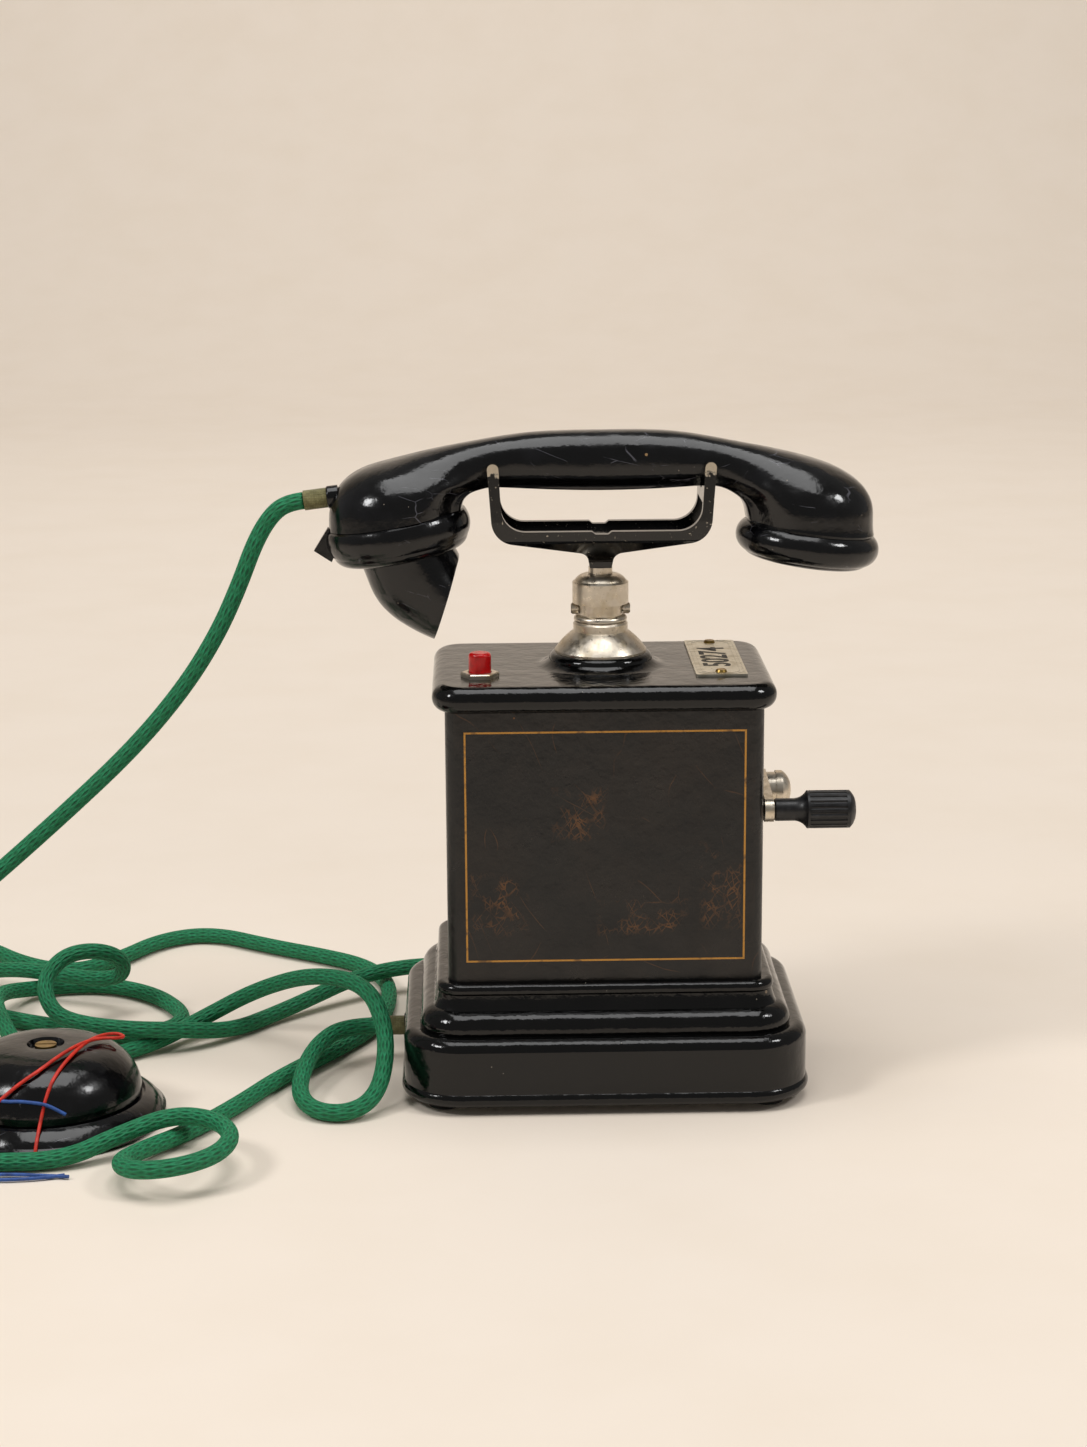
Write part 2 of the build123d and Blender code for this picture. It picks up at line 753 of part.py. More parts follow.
with BuildPart() as ear_cap:
    with BuildSketch(ear):
        with BuildLine():
            wide = ear_cap_radius
            deep = ear_cap_height
            Polyline(
                (capsule_radius + 2.3, 0),
                (ear_joint_radius - 0.8, 0),
                (ear_joint_radius - 0.8, 1.2),
                (ear_joint_radius, 1.2),
            )
            ThreePointArc((ear_joint_radius, 1.2), (wide, 7.6), (wide - 4.6, 14.0))
            ThreePointArc((wide - 4.6, 14.0), (wide - 7.6, deep), (wide - 10.6, deep - 0.6))
            ThreePointArc((wide - 10.6, deep - 0.6), (wide - 20, deep - 3.0), (3.0, deep - 3.8))
            Polyline(
                (3.0, deep - 3.8),
                (3.0, deep - 3.8 - shell_wall),
                (capsule_radius - 2, deep - 4 - shell_wall),
                (capsule_radius, 0.9),
                (capsule_radius + 2.3, 0.9),
                (capsule_radius + 2.3, 0),
            )
        make_face()
    revolve(axis=head_axis(ear))
save(ear_cap.part, "ear_cap")

horn_stations = [
    joint_row(mouth, -18.9, 22.1, 20.2, mouth_cap_height),
    ((-101.0, 220.4), (-62.8, 234.6), 19.9),
    ((-95.8, 211.2), (-62.2, 233.4), 19.6),
    ((-88.2, 204.3), (-62.0, 232.6), 19.2),
    ((-80.9, 199.8), (-62.1, 231.9), 18.8),
    ((-73.5, 196.3), (-62.5, 231.1), 18.4),
]


def horn_station(back, front, half_width, wall):
    """An ellipse of the horn, narrowed by its wall."""
    rise = (Vector(back[0], back[1]) - Vector(front[0], front[1])).normalized() * wall
    return station(
        (back[0] - rise.X, back[1] - rise.Y), (front[0] + rise.X, front[1] + rise.Y), half_width - wall
    )


with BuildPart() as mouth_horn:
    loft([horn_station(*row, 0) for row in horn_stations])
    loft([horn_station(*row, horn_wall) for row in horn_stations], mode=Mode.SUBTRACT)
save(mouth_horn.part, "mouth_horn")

# ================= crank =================
def rod(name, radius, start, end, *places, bore=0):
    """Round pieces along X at the given (y, z) places."""
    with BuildPart() as made:
        with BuildSketch(Plane.YZ.offset(start)):
            with Locations(*places):
                Circle(radius)
                if bore:
                    Circle(bore, mode=Mode.SUBTRACT)
        extrude(amount=end - start)
    save(made.part, name)
    return made


crank_axis = (0, crank_height)
grip_axis = (-crank_throw, crank_height)
armature_axis = (0, armature_height)
grip_start = crank_hub_x + body_gap
grip_end = grip_start + knob_length
grip_depth = knob_length - 8

with BuildPart() as crank_bearing:
    with BuildSketch(Plane.YZ.offset(side_wall)):
        with Locations(crank_axis):
            Circle(bearing_radius)
            Circle(shaft_radius + run_gap, mode=Mode.SUBTRACT)
    extrude(amount=crank_arm_gap - body_gap)
    with BuildSketch(Plane.YZ.offset(side_wall)):
        with Locations(crank_axis):
            Circle(crank_hub_radius)
            Circle(shaft_radius + run_gap, mode=Mode.SUBTRACT)
    extrude(amount=-6)
save(crank_bearing.part, "crank_bearing")

with BuildPart() as crank_arm:
    with BuildSketch(Plane.YZ.offset(crank_arm_x)):
        with Locations(crank_axis):
            Circle(arm_hub_radius)
        with Locations(grip_axis):
            Circle(arm_tip_radius)
        make_hull()
    extrude(amount=crank_arm_thickness)
    with BuildSketch(Plane.YZ.offset(crank_hub_x)):
        with Locations(crank_axis):
            Circle(crank_hub_radius)
    extrude(amount=crank_hub_length)
    with BuildSketch(Plane.YZ.offset(crank_arm_x)):
        with Locations(crank_axis):
            Circle(shaft_radius + seat_gap)
    extrude(amount=crank_arm_thickness + crank_hub_length, mode=Mode.SUBTRACT)
    with BuildSketch(Plane.YZ.offset(crank_hub_x)):
        with Locations(grip_axis):
            Circle(grip_pin_radius)
    extrude(amount=body_gap + grip_depth - 1)
save(crank_arm.part, "crank_arm")

with BuildPart() as crank_cap:
    with BuildSketch(Plane.XZ):
        with BuildLine():
            cap_end = crank_cap_x + crank_cap_length
            Polyline(
                (cap_end, crank_height),
                (crank_cap_x, crank_height),
                (crank_cap_x, crank_height + crank_cap_radius),
                (crank_cap_x + 2.8, crank_height + crank_cap_radius),
            )
            ThreePointArc(
                (crank_cap_x + 2.8, crank_height + crank_cap_radius),
                (cap_end - 1.2, crank_height + 0.66 * crank_cap_radius),
                (cap_end, crank_height + 1),
            )
            Line((cap_end, crank_height + 1), (cap_end, crank_height))
        make_face()
    revolve(axis=Axis((0, 0, crank_height), (1, 0, 0)))
save(crank_cap.part, "crank_cap")

shaft_end = frame_half + 5
rod("crank_shaft", shaft_radius, -shaft_end, crank_cap_x, crank_axis)

with BuildPart() as crank_grip:
    with BuildSketch(Plane.XZ.offset(crank_throw)):
        with BuildLine():
            flare = grip_start + knob_neck_length
            Polyline(
                (grip_end, crank_height),
                (grip_start, crank_height),
                (grip_start, crank_height + knob_neck_radius - 0.6),
                (grip_start + 0.6, crank_height + knob_neck_radius),
                (flare - 6, crank_height + knob_neck_radius),
            )
            ThreePointArc(
                (flare - 6, crank_height + knob_neck_radius),
                (flare - 2.2, crank_height + knob_neck_radius + 1.0),
                (flare, crank_height + knob_radius),
            )
            Line((flare, crank_height + knob_radius), (grip_end - 2.6, crank_height + knob_radius))
            ThreePointArc(
                (grip_end - 2.6, crank_height + knob_radius),
                (grip_end - 0.8, crank_height + 0.72 * knob_radius),
                (grip_end, crank_height + 1),
            )
            Line((grip_end, crank_height + 1), (grip_end, crank_height))
        make_face()
    revolve(axis=Axis((0, -crank_throw, crank_height), (1, 0, 0)))
    with BuildSketch(Plane.YZ.offset(flare + 1)):
        with Locations(grip_axis):
            with PolarLocations(knob_radius + 0.2, knob_flutes):
                Circle(0.8)
    extrude(amount=grip_end - flare - 5, mode=Mode.SUBTRACT)
    with BuildSketch(Plane.YZ.offset(grip_start)):
        with Locations(grip_axis):
            Circle(grip_pin_radius + run_gap)
    extrude(amount=grip_depth, mode=Mode.SUBTRACT)
save(crank_grip.part, "crank_grip")

# ================= magneto =================
def gear_outline(teeth):
    """A spur gear with straight-flanked teeth, in the sketch that is being drawn."""
    pitch = gear_module * teeth / 2
    root = pitch - 1.2 * gear_module
    tip = pitch + 0.9 * gear_module
    Circle(root)
    with PolarLocations(0, teeth):
        Polygon(
            (root - 0.6, -1.2 * gear_module),
            (tip, -0.36 * gear_module),
            (tip, 0.36 * gear_module),
            (root - 0.6, 1.2 * gear_module),
            align=None,
        )


with BuildPart() as drive_gear:
    with BuildSketch(Plane.YZ.offset(frame_half + 3)):
        with Locations(crank_axis):
            gear_outline(drive_teeth)
            Circle(shaft_radius + seat_gap, mode=Mode.SUBTRACT)
            with PolarLocations(20.7, 5):
                Circle(8, mode=Mode.SUBTRACT)
    extrude(amount=gear_width)
save(drive_gear.part, "drive_gear")

magnet_arch = crank_height - 14.3
magnet_foot = chassis_top + 6.2
bolt_places = [(-20, armature_height - 14.5), (20, armature_height - 14.5)]
bolt_places += [(-20, armature_height + 14.5), (20, armature_height + 14.5)]

with BuildPart() as magnets:
    for middle in (-magnet_pitch, 0, magnet_pitch):
        with BuildSketch(Plane.YZ.offset(middle)):
            inner_half = magnet_half_span - magnet_thick
            with Locations((0, magnet_arch)):
                Circle(magnet_half_span)
                Rectangle(2 * magnet_half_span, magnet_arch - magnet_foot, align=(Align.CENTER, Align.MAX))
                Circle(inner_half, mode=Mode.SUBTRACT)
                Rectangle(
                    2 * inner_half,
                    magnet_arch - magnet_foot,
                    align=(Align.CENTER, Align.MAX),
                    mode=Mode.SUBTRACT,
                )
        extrude(amount=magnet_width / 2, both=True)
save(magnets.part, "magnets")

with BuildPart() as pole_pieces:
    with BuildSketch(Plane.YZ):
        with Locations(armature_axis):
            Rectangle(2 * inner_half - 2 * seat_gap, 2 * armature_radius + 5)
            Circle(armature_radius + pole_gap, mode=Mode.SUBTRACT)
            Rectangle(armature_radius, 60, mode=Mode.SUBTRACT)
        with Locations(*bolt_places):
            Circle(grip_pin_radius + seat_gap, mode=Mode.SUBTRACT)
    extrude(amount=armature_half + 1, both=True)
save(pole_pieces.part, "pole_pieces")

with BuildPart() as end_plates:
    with BuildSketch(Plane.YZ.offset(frame_half - frame_plate)):
        with Locations((0, chassis_top)):
            Rectangle(58, crank_height + 12 - chassis_top, align=(Align.CENTER, Align.MIN))
        with Locations(crank_axis):
            Circle(shaft_radius + run_gap, mode=Mode.SUBTRACT)
        with Locations(armature_axis):
            Circle(armature_shaft_radius + run_gap, mode=Mode.SUBTRACT)
        with Locations(*bolt_places):
            Circle(grip_pin_radius + seat_gap, mode=Mode.SUBTRACT)
    extrude(amount=frame_plate)
    with BuildSketch(Plane.XY.offset(chassis_top)):
        with Locations((frame_half, 0)):
            Rectangle(12, 58, align=(Align.MIN, Align.CENTER))
        with Locations((frame_screw_x, frame_screw_y), (frame_screw_x, -frame_screw_y)):
            Circle(grip_pin_radius + seat_gap, mode=Mode.SUBTRACT)
    extrude(amount=frame_plate)
    mirror(about=Plane.YZ)
save(end_plates.part, "magneto_end_plates")

with BuildPart() as frame_bolts:
    with BuildSketch(Plane.YZ):
        with Locations(*bolt_places):
            Circle(grip_pin_radius)
    extrude(amount=frame_half, both=True)
    with BuildSketch(Plane.YZ.offset(frame_half)):
        with Locations(*bolt_places):
            RegularPolygon(3.4, 6)
    extrude(amount=2)
    with BuildSketch(Plane.XY.offset(plinth_height + 0.2)):
        with Locations((frame_screw_x, frame_screw_y), (frame_screw_x, -frame_screw_y)):
            Circle(grip_pin_radius)
    extrude(amount=chassis_top + frame_plate - plinth_height - 0.2)
    with BuildSketch(Plane.XY.offset(chassis_top + frame_plate)):
        with Locations((frame_screw_x, frame_screw_y), (frame_screw_x, -frame_screw_y)):
            Circle(3.6)
            Rectangle(8, 0.9, mode=Mode.SUBTRACT)
    extrude(amount=1.8)
    mirror(about=Plane.YZ)
save(frame_bolts.part, "magneto_bolts")

with BuildPart() as armature:
    with BuildSketch(Plane.YZ):
        with Locations(armature_axis):
            Circle(armature_radius)
            for side in (1, -1):
                with Locations((side * 13, 0)):
                    Rectangle(15, 18, mode=Mode.SUBTRACT)
            Circle(armature_shaft_radius + seat_gap, mode=Mode.SUBTRACT)
    extrude(amount=armature_half, both=True)
save(armature.part, "armature")

with BuildPart() as winding:
    with BuildSketch(Plane.YZ):
        with Locations(armature_axis):
            Circle(armature_radius - 1)
            Rectangle(60, 18 - 2 * seat_gap, mode=Mode.INTERSECT)
            Rectangle(11 + 2 * seat_gap, 60, mode=Mode.SUBTRACT)
    extrude(amount=armature_half - 2, both=True)
save(winding.part, "armature_winding")

with BuildPart() as armature_shaft:
    with BuildSketch(Plane.YZ.offset(-shaft_end)):
        with Locations(armature_axis):
            Circle(armature_shaft_radius)
    extrude(amount=shaft_end + frame_half + 3 + gear_width + 1)
    with BuildSketch(Plane.YZ.offset(frame_half + 3)):
        with Locations(armature_axis):
            gear_outline(pinion_teeth)
    extrude(amount=gear_width)
save(armature_shaft.part, "armature_shaft")

# ================= push button and number plate =================
housing_bottom = lid_top - housing_depth
housing_floor = housing_bottom + 2
lip = lid_top - 4
flange_top = lip - body_gap
with BuildPart() as button_housing:
    for outer, bore_radius, low, high in (
        (housing_radius, button_stem_radius + run_gap, housing_bottom, housing_floor),
        (housing_radius, button_flange_radius + body_gap, housing_floor, lip),
        (housing_radius, button_radius + run_gap, lip, lid_top),
    ):
        with BuildSketch(Plane.XY.offset(low)):
            with Locations((button_x, button_y)):
                Circle(outer)
                Circle(bore_radius, mode=Mode.SUBTRACT)
        extrude(amount=high - low)
    with BuildSketch(Plane.XY.offset(lid_top)):
        with Locations((button_x, button_y)):
            RegularPolygon(nut_flats / 2, 6, major_radius=False)
            Circle(button_radius + body_gap, mode=Mode.SUBTRACT)
    extrude(amount=nut_height)
    chamfer(button_housing.edges().group_by(Axis.Z)[-1].filter_by(GeomType.LINE), 0.4)
save(button_housing.part, "button_housing")

flange_bottom = flange_top - 2
with BuildPart() as button_spring:
    with BuildSketch(Plane.XY.offset(housing_floor)):
        with Locations((button_x, button_y)):
            Circle(button_flange_radius - 0.6)
            Circle(button_stem_radius + 1.2, mode=Mode.SUBTRACT)
    extrude(amount=flange_bottom - housing_floor)
save(button_spring.part, "button_spring")

with BuildPart() as button_cap:
    for radius, low, high in (
        (button_stem_radius, housing_bottom - 2, flange_bottom),
        (button_flange_radius, flange_bottom, flange_top),
    ):
        with BuildSketch(Plane.XY.offset(low)):
            with Locations((button_x, button_y)):
                Circle(radius)
        extrude(amount=high - low)
    with BuildSketch(Plane.XY.offset(flange_top)):
        with Locations((button_x, button_y)):
            Circle(button_radius)
    extrude(amount=lid_top + button_stand - flange_top)
    fillet(button_cap.edges().sort_by(Axis.Z)[-1], 1.6)
save(button_cap.part, "push_button")

with BuildPart() as number_plate:
    with BuildSketch(Plane.XY.offset(lid_top)):
        with Locations((plate_x, plate_y)):
            RectangleRounded(plate_width, plate_length, 1.2)
            with GridLocations(0, plate_length - 2 * plate_screw_inset, 1, 2):
                Circle(screw_radius, mode=Mode.SUBTRACT)
    extrude(amount=plate_thickness)
save(number_plate.part, "number_plate")

with BuildPart() as plate_screws:
    head_seat = lid_top + plate_thickness
    with BuildSketch(Plane.XY.offset(lid_top - 4)):
        with Locations((plate_x, plate_y)):
            with GridLocations(0, plate_length - 2 * plate_screw_inset, 1, 2):
                Circle(screw_radius - seat_gap)
    extrude(amount=head_seat - lid_top + 4)
    with BuildSketch(Plane.XY.offset(head_seat)):
        with Locations((plate_x, plate_y)):
            with GridLocations(0, plate_length - 2 * plate_screw_inset, 1, 2):
                Circle(2.6)
    extrude(amount=1.1, taper=25)
    with BuildSketch(Plane.XY.offset(head_seat + 0.5)):
        with Locations((plate_x, plate_y)):
            with GridLocations(0, plate_length - 2 * plate_screw_inset, 1, 2):
                Rectangle(6, 0.7, rotation=25)
    extrude(amount=1, mode=Mode.SUBTRACT)
save(plate_screws.part, "plate_screws")

with BuildPart() as base_screws:
    with GridLocations(2 * foot_x, 2 * foot_y, 2, 2):
        with Locations((0, 0, foot_height)):
            Cylinder(screw_radius, base_screw_length, align=standing)
            Cylinder(base_screw_head, 2.2, align=(Align.CENTER, Align.CENTER, Align.MAX))
save(base_screws.part, "base_screws")

# ================= ringer =================
ringer_z = 30.0
gong_rim = gong_height_top - gong_height

with BuildPart() as gongs:
    with BuildSketch(Plane.XZ.offset(gong_y)):
        with BuildLine():
            rim = gong_x + gong_radius
            crown = (gong_x, gong_height_top)
            Polyline((gong_x + 2 + seat_gap, gong_height_top - gong_wall), (gong_x + 2 + seat_gap, gong_height_top))
            Line((gong_x + 2 + seat_gap, gong_height_top), (gong_x + 6, gong_height_top))
            ThreePointArc((gong_x + 6, gong_height_top), (rim - 5.5, gong_height_top - 5), (rim, gong_rim))
            Line((rim, gong_rim), (rim - gong_wall, gong_rim))
            ThreePointArc(
                (rim - gong_wall, gong_rim),
                (rim - 6.8, gong_height_top - 6),
                (gong_x + 6, gong_height_top - gong_wall),
            )
            Line((gong_x + 6, gong_height_top - gong_wall), (gong_x + 2 + seat_gap, gong_height_top - gong_wall))
        make_face()
    revolve(axis=Axis((gong_x, -gong_y, 0), (0, 0, 1)))
    with Locations((gong_x, -gong_y, gong_height_top - 3.4)):
        Cylinder(2 + seat_gap, 3.4, align=standing)
        Cylinder(3.8, 1.8, align=standing)
    with Locations((gong_x, -gong_y, gong_height_top)):
        Cylinder(4, plinth_roof - gong_height_top, align=standing)
    mirror(about=Plane.XZ)
save(gongs.part, "ringer_gongs")

coil_places = [(10.0, ringer_z), (-10.0, ringer_z)]
coil_start = -14.0
with BuildPart() as ringer_coils:
    for low, high, radius in (
        (coil_start, coil_start + 1.5, coil_radius + 0.8),
        (coil_start + 1.5, coil_start + coil_length - 1.5, coil_radius - 0.6),
        (coil_start + coil_length - 1.5, coil_start + coil_length, coil_radius + 0.8),
    ):
        with BuildSketch(Plane.YZ.offset(low)):
            with Locations(*coil_places):
                Circle(radius)
                Circle(3 + seat_gap, mode=Mode.SUBTRACT)
        extrude(amount=high - low)
save(ringer_coils.part, "ringer_coils")

with BuildPart() as ringer_yoke:
    with BuildSketch(Plane.YZ.offset(coil_start - 3)):
        with Locations((0, ringer_z - 10)):
            Rectangle(38, plinth_roof - ringer_z + 10, align=(Align.CENTER, Align.MIN))
    extrude(amount=3)
    with BuildSketch(Plane.YZ.offset(coil_start)):
        with Locations(*coil_places):
            Circle(3)
    extrude(amount=coil_length + 1)
    with BuildSketch(Plane.XY.offset(ringer_z - 7)):
        with Locations((clapper_x, 0)):
            Circle(1.5)
    extrude(amount=plinth_roof - ringer_z + 7)
save(ringer_yoke.part, "ringer_frame")

with BuildPart() as clapper:
    with BuildSketch(Plane.XY.offset(ringer_z - 4)):
        with Locations((clapper_x, 0)):
            Rectangle(2.4, 34)
            Circle(3)
            Circle(1.5 + run_gap, mode=Mode.SUBTRACT)
    extrude(amount=8)
    with BuildSketch(Plane.YZ.offset(clapper_x + 2.4)):
        with Locations((0, ringer_z)):
            Circle(1)
    extrude(amount=gong_x - clapper_x - 4)
    with Locations((gong_x, 0, ringer_z)):
        Sphere(clapper_radius)
save(clapper.part, "clapper")

# ================= small electrical pieces on the base plate =================
coil_x = -35.0
with BuildPart() as induction_coil:
    with BuildSketch(Plane.XZ):
        with Locations((coil_x, ringer_z - 6)):
            Circle(11)
    extrude(amount=31, both=True)
    with BuildSketch(Plane.XZ.offset(31)):
        with Locations((coil_x, base_plate_top)):
            Rectangle(28, 34, align=(Align.CENTER, Align.MIN))
    extrude(amount=3)
    mirror(about=Plane.XZ)
    with BuildSketch(Plane.XZ):
        with Locations((coil_x, ringer_z - 6)):
            Circle(5)
    extrude(amount=37, both=True)
save(induction_coil.part, "induction_coil")

with BuildPart() as capacitor:
    with BuildSketch(Plane.XY.offset(base_plate_top)):
        with Locations((coil_x, -45.5)):
            RectangleRounded(40, 15, 2)
    extrude(amount=25)
    with BuildSketch(Plane.XY.offset(base_plate_top + 25)):
        with Locations((coil_x - 10, -45.5), (coil_x + 10, -45.5)):
            Rectangle(2, 5)
    extrude(amount=4)
save(capacitor.part, "capacitor")

strip_x = -72.0
strip_top = base_plate_top + 9
with BuildPart() as terminal_strip:
    with BuildSketch(Plane.XY.offset(base_plate_top)):
        with Locations((strip_x, 0)):
            Rectangle(12, 62)
            with GridLocations(0, 14, 1, 4):
                Circle(screw_radius + seat_gap, mode=Mode.SUBTRACT)
    extrude(amount=strip_top - base_plate_top)
save(terminal_strip.part, "terminal_strip")

with BuildPart() as terminal_screws:
    with BuildSketch(Plane.XY.offset(base_plate_top + 2)):
        with Locations((strip_x, 0)):
            with GridLocations(0, 14, 1, 4):
                Circle(screw_radius)
    extrude(amount=strip_top - base_plate_top - 2)
    with BuildSketch(Plane.XY.offset(strip_top)):
        with Locations((strip_x, 0)):
            with GridLocations(0, 14, 1, 4):
                Circle(3)
                Rectangle(8, 0.8, mode=Mode.SUBTRACT)
    extrude(amount=1.8)
save(terminal_screws.part, "terminal_screws")

# ================= cords, glands and rosette =================
with BuildPart() as cord_glands:
    with BuildSketch(left_flank.offset(gland_stand)):
        Circle(gland_radius)
    extrude(amount=-gland_stand - plinth_wall)
    with BuildSketch(back_flank.offset(gland_stand)):
        Circle(gland_radius)
    extrude(amount=-gland_stand - plinth_wall)
    outer_rims = cord_glands.edges().filter_by(GeomType.CIRCLE)
    chamfer([outer_rims.sort_by(Axis.X)[0], outer_rims.sort_by(Axis.Y)[-1]], 0.8)
save(cord_glands.part, "cord_glands")

with BuildPart() as base_sleeve:
    with BuildSketch(left_flank.offset(gland_stand)):
        Circle(sleeve_diameter / 2)
    extrude(amount=sleeve_length)
save(base_sleeve.part, "base_sleeve")

# The routes are lists of corner points; each corner is rounded by an arc that takes 45 % of its
# shorter run, so every run keeps a straight middle and the cord never kinks.
handset_points = [
    (-128, 0, 257.25), (-135, 0, 256.39), (-142.2, 0, 251), (-149.3, 0, 239.5), (-156.7, 0, 220.5),
    (-166.5, 0, 199.5), (-181.5, 0, 176), (-205, 0, 148.5), (-239, 1, 117), (-276, 3, 84.5),
    (-322, 8, 46), (-375, 22, 16), (-420, 50, 3.8), (-425, 100, 3.8), (-380, 128, 3.8),
    (-332, 100, 3.8), (-281.5, 62, 3.8), (-246, 44, 3.8), (-212, 30, 3.8), (-190, 52, 3.8),
    (-208, 90, 3.8), (-238, 110, 3.8), (-272, 104, 3.8), (-285, 70, 12.8), (-276, 34, 12.8),
    (-262, 6, 4.8), (-236, -3, 3.8), (-206, 18, 3.8), (-184, 44, 8), (-158, 44, 22), (-130, 14, 39),
    (-105, -10, 42), (-95.8, -30, 29), (-96, -49, 14.5), (-101.5, -63, 6), (-113, -71, 3.8),
    (-126.5, -66, 3.8), (-133.5, -50, 5), (-133, -31, 8.8), (-127.5, -9, 13.5), (-116, 5, 17),
    (-98.7, 5, 17),
]
line_points = [
    (-54, 66.7, 15.5), (-54, 86, 15.5), (-70, 103, 13.5), (-94, 104, 12.1), (-116, 91, 11),
    (-135, 76, 6.5), (-152, 60, 3.8), (-170, 38, 3.8), (-192, 20, 10.8), (-216, 15.5, 13.1),
    (-240, 26, 12.8), (-253, 39, 14), (-258.5, 50, 24.5), (-250, 59, 34.5), (-235.5, 64, 36),
    (-223.5, 72, 29), (-225, 82, 16.5), (-240, 89.5, 12.6), (-262, 97, 14), (-282, 110, 12),
    (-300, 124, 6), (-326, 130, 3.8), (-354, 142, 3.8), (-358, 170, 3.8), (-334, 188, 3.8),
    (-306, 172, 3.8), (-282, 142, 3.8), (-256, 128, 3.8), (-236, 148, 3.8), (-218, 180, 3.8),
    (-192, 190, 3.8), (-160, 166, 3.8), (-134, 150, 3.8), (-113, 134, 3.8), (-100, 110, 3.8),
    (-97.5, 78, 3.8), (-102, 44, 3.8), (-120, 10, 3.8), (-143, -24, 3.8), (-160, -60, 3.8),
    (-178, -90, 3.8), (-194, -111, 5), (-202.5, -133, 8), (-192, -152, 12), (-174, -153, 14),
    (-160, -140, 14), (-155.5, -120, 14), (-164, -101.5, 14), (-183, -92.5, 13.2),
    (-204, -105, 9.4), (-226, -119.5, 3.8), (-258, -119, 3.8), (-300, -128, 3.8), (-336, -114, 3.8),
    (-342, -82, 3.8), (-318, -60.5, 6), (-290, -60.5, 6),
]


def corner_radii(points):
    """The bend radius at each inner point of a route."""
    radii = []
    for before, corner, after in zip(points, points[1:], points[2:]):
        run_in = Vector(corner) - Vector(before)
        run_out = Vector(after) - Vector(corner)
        shorter = min(run_in.length, run_out.length)
        radii.append(0.45 * shorter / tan(radians(run_in.get_angle(run_out)) / 2))
    return radii


def cord(name, points):
    """A round cord along a route; returns samples of its middle line for the gap measures."""
    radii = corner_radii(points)
    with BuildPart() as made:
        with BuildLine() as route:
            FilletPolyline(*points, radius=radii)
        with BuildSketch(Plane(points[0], z_dir=Vector(points[1]) - Vector(points[0]))):
            Circle(cord_diameter / 2)
        sweep(path=route.line)
    save(made.part, name)
    length = sum(edge.length for edge in route.edges())
    lowest = min(point[2] for point in points) - cord_diameter / 2
    print(f"{name}: {length:.0f} long, tightest bend {min(radii):.1f}, lowest {lowest:.2f}")
    wire = route.wire()
    return [tuple(wire.position_at(step / 500)) for step in range(501)], length / 500


def least_gap(track, other, skip=0):
    """The least gap between the surfaces of two cords, or of one to itself past a skipped length."""
    least = 1e9
    for index, here in enumerate(track):
        for there in other[index + skip:] if skip else other:
            apart = sum((here[k] - there[k]) ** 2 for k in range(3))
            least = min(least, apart)
    return least ** 0.5 - cord_diameter


handset_track, handset_step = cord("handset_cord", handset_points)
line_track, line_step = cord("line_cord", line_points)
near_length = 4 * cord_diameter
print(f"handset_cord to itself {least_gap(handset_track, handset_track, int(near_length / handset_step)):.2f}")
print(f"line_cord to itself {least_gap(line_track, line_track, int(near_length / line_step)):.2f}")
print(f"between the cords {least_gap(handset_track, line_track):.2f}")

rosette_top = Plane((rosette_x, rosette_y, 0), x_dir=(1, 0, 0), z_dir=(0, -1, 0))
with BuildPart() as rosette_base:
    with BuildSketch(rosette_top):
        with BuildLine():
            flange_in = rosette_dome_radius + rosette_groove
            Polyline(
                (0, 0),
                (rosette_radius - 1.0, 0),
                (rosette_radius, 1.0),
                (rosette_radius, rosette_lip),
                (rosette_radius - 1.2, rosette_lip + 1.0),
            )
            ThreePointArc(
                (rosette_radius - 1.2, rosette_lip + 1.0),
                (rosette_radius - 4.4, rosette_lip + 4.6),
                (flange_in, rosette_flange_height),
            )
            Polyline(
                (flange_in, rosette_flange_height),
                (flange_in, rosette_flange_height - 1.6),
                (rosette_dome_radius - rosette_wall - body_gap, rosette_flange_height - 1.6),
                (rosette_dome_radius - rosette_wall - body_gap, rosette_lip),
                (0, rosette_lip),
                (0, 0),
            )
        make_face()
    revolve(axis=Axis((rosette_x, rosette_y, 0), (0, 0, 1)))
    with BuildSketch(Plane.XY.offset(rosette_lip)):
        with Locations((rosette_x, rosette_y)):
            Circle(6)
            Circle(screw_radius + seat_gap, mode=Mode.SUBTRACT)
    extrude(amount=rosette_height - rosette_wall - 4 - rosette_lip)
    with BuildSketch(Plane.YZ.offset(rosette_x - rosette_radius)):
        with Locations((rosette_y, rosette_entry)):
            Circle(rosette_entry - 0.4)
    extrude(amount=9)
save(rosette_base.part, "rosette_base")

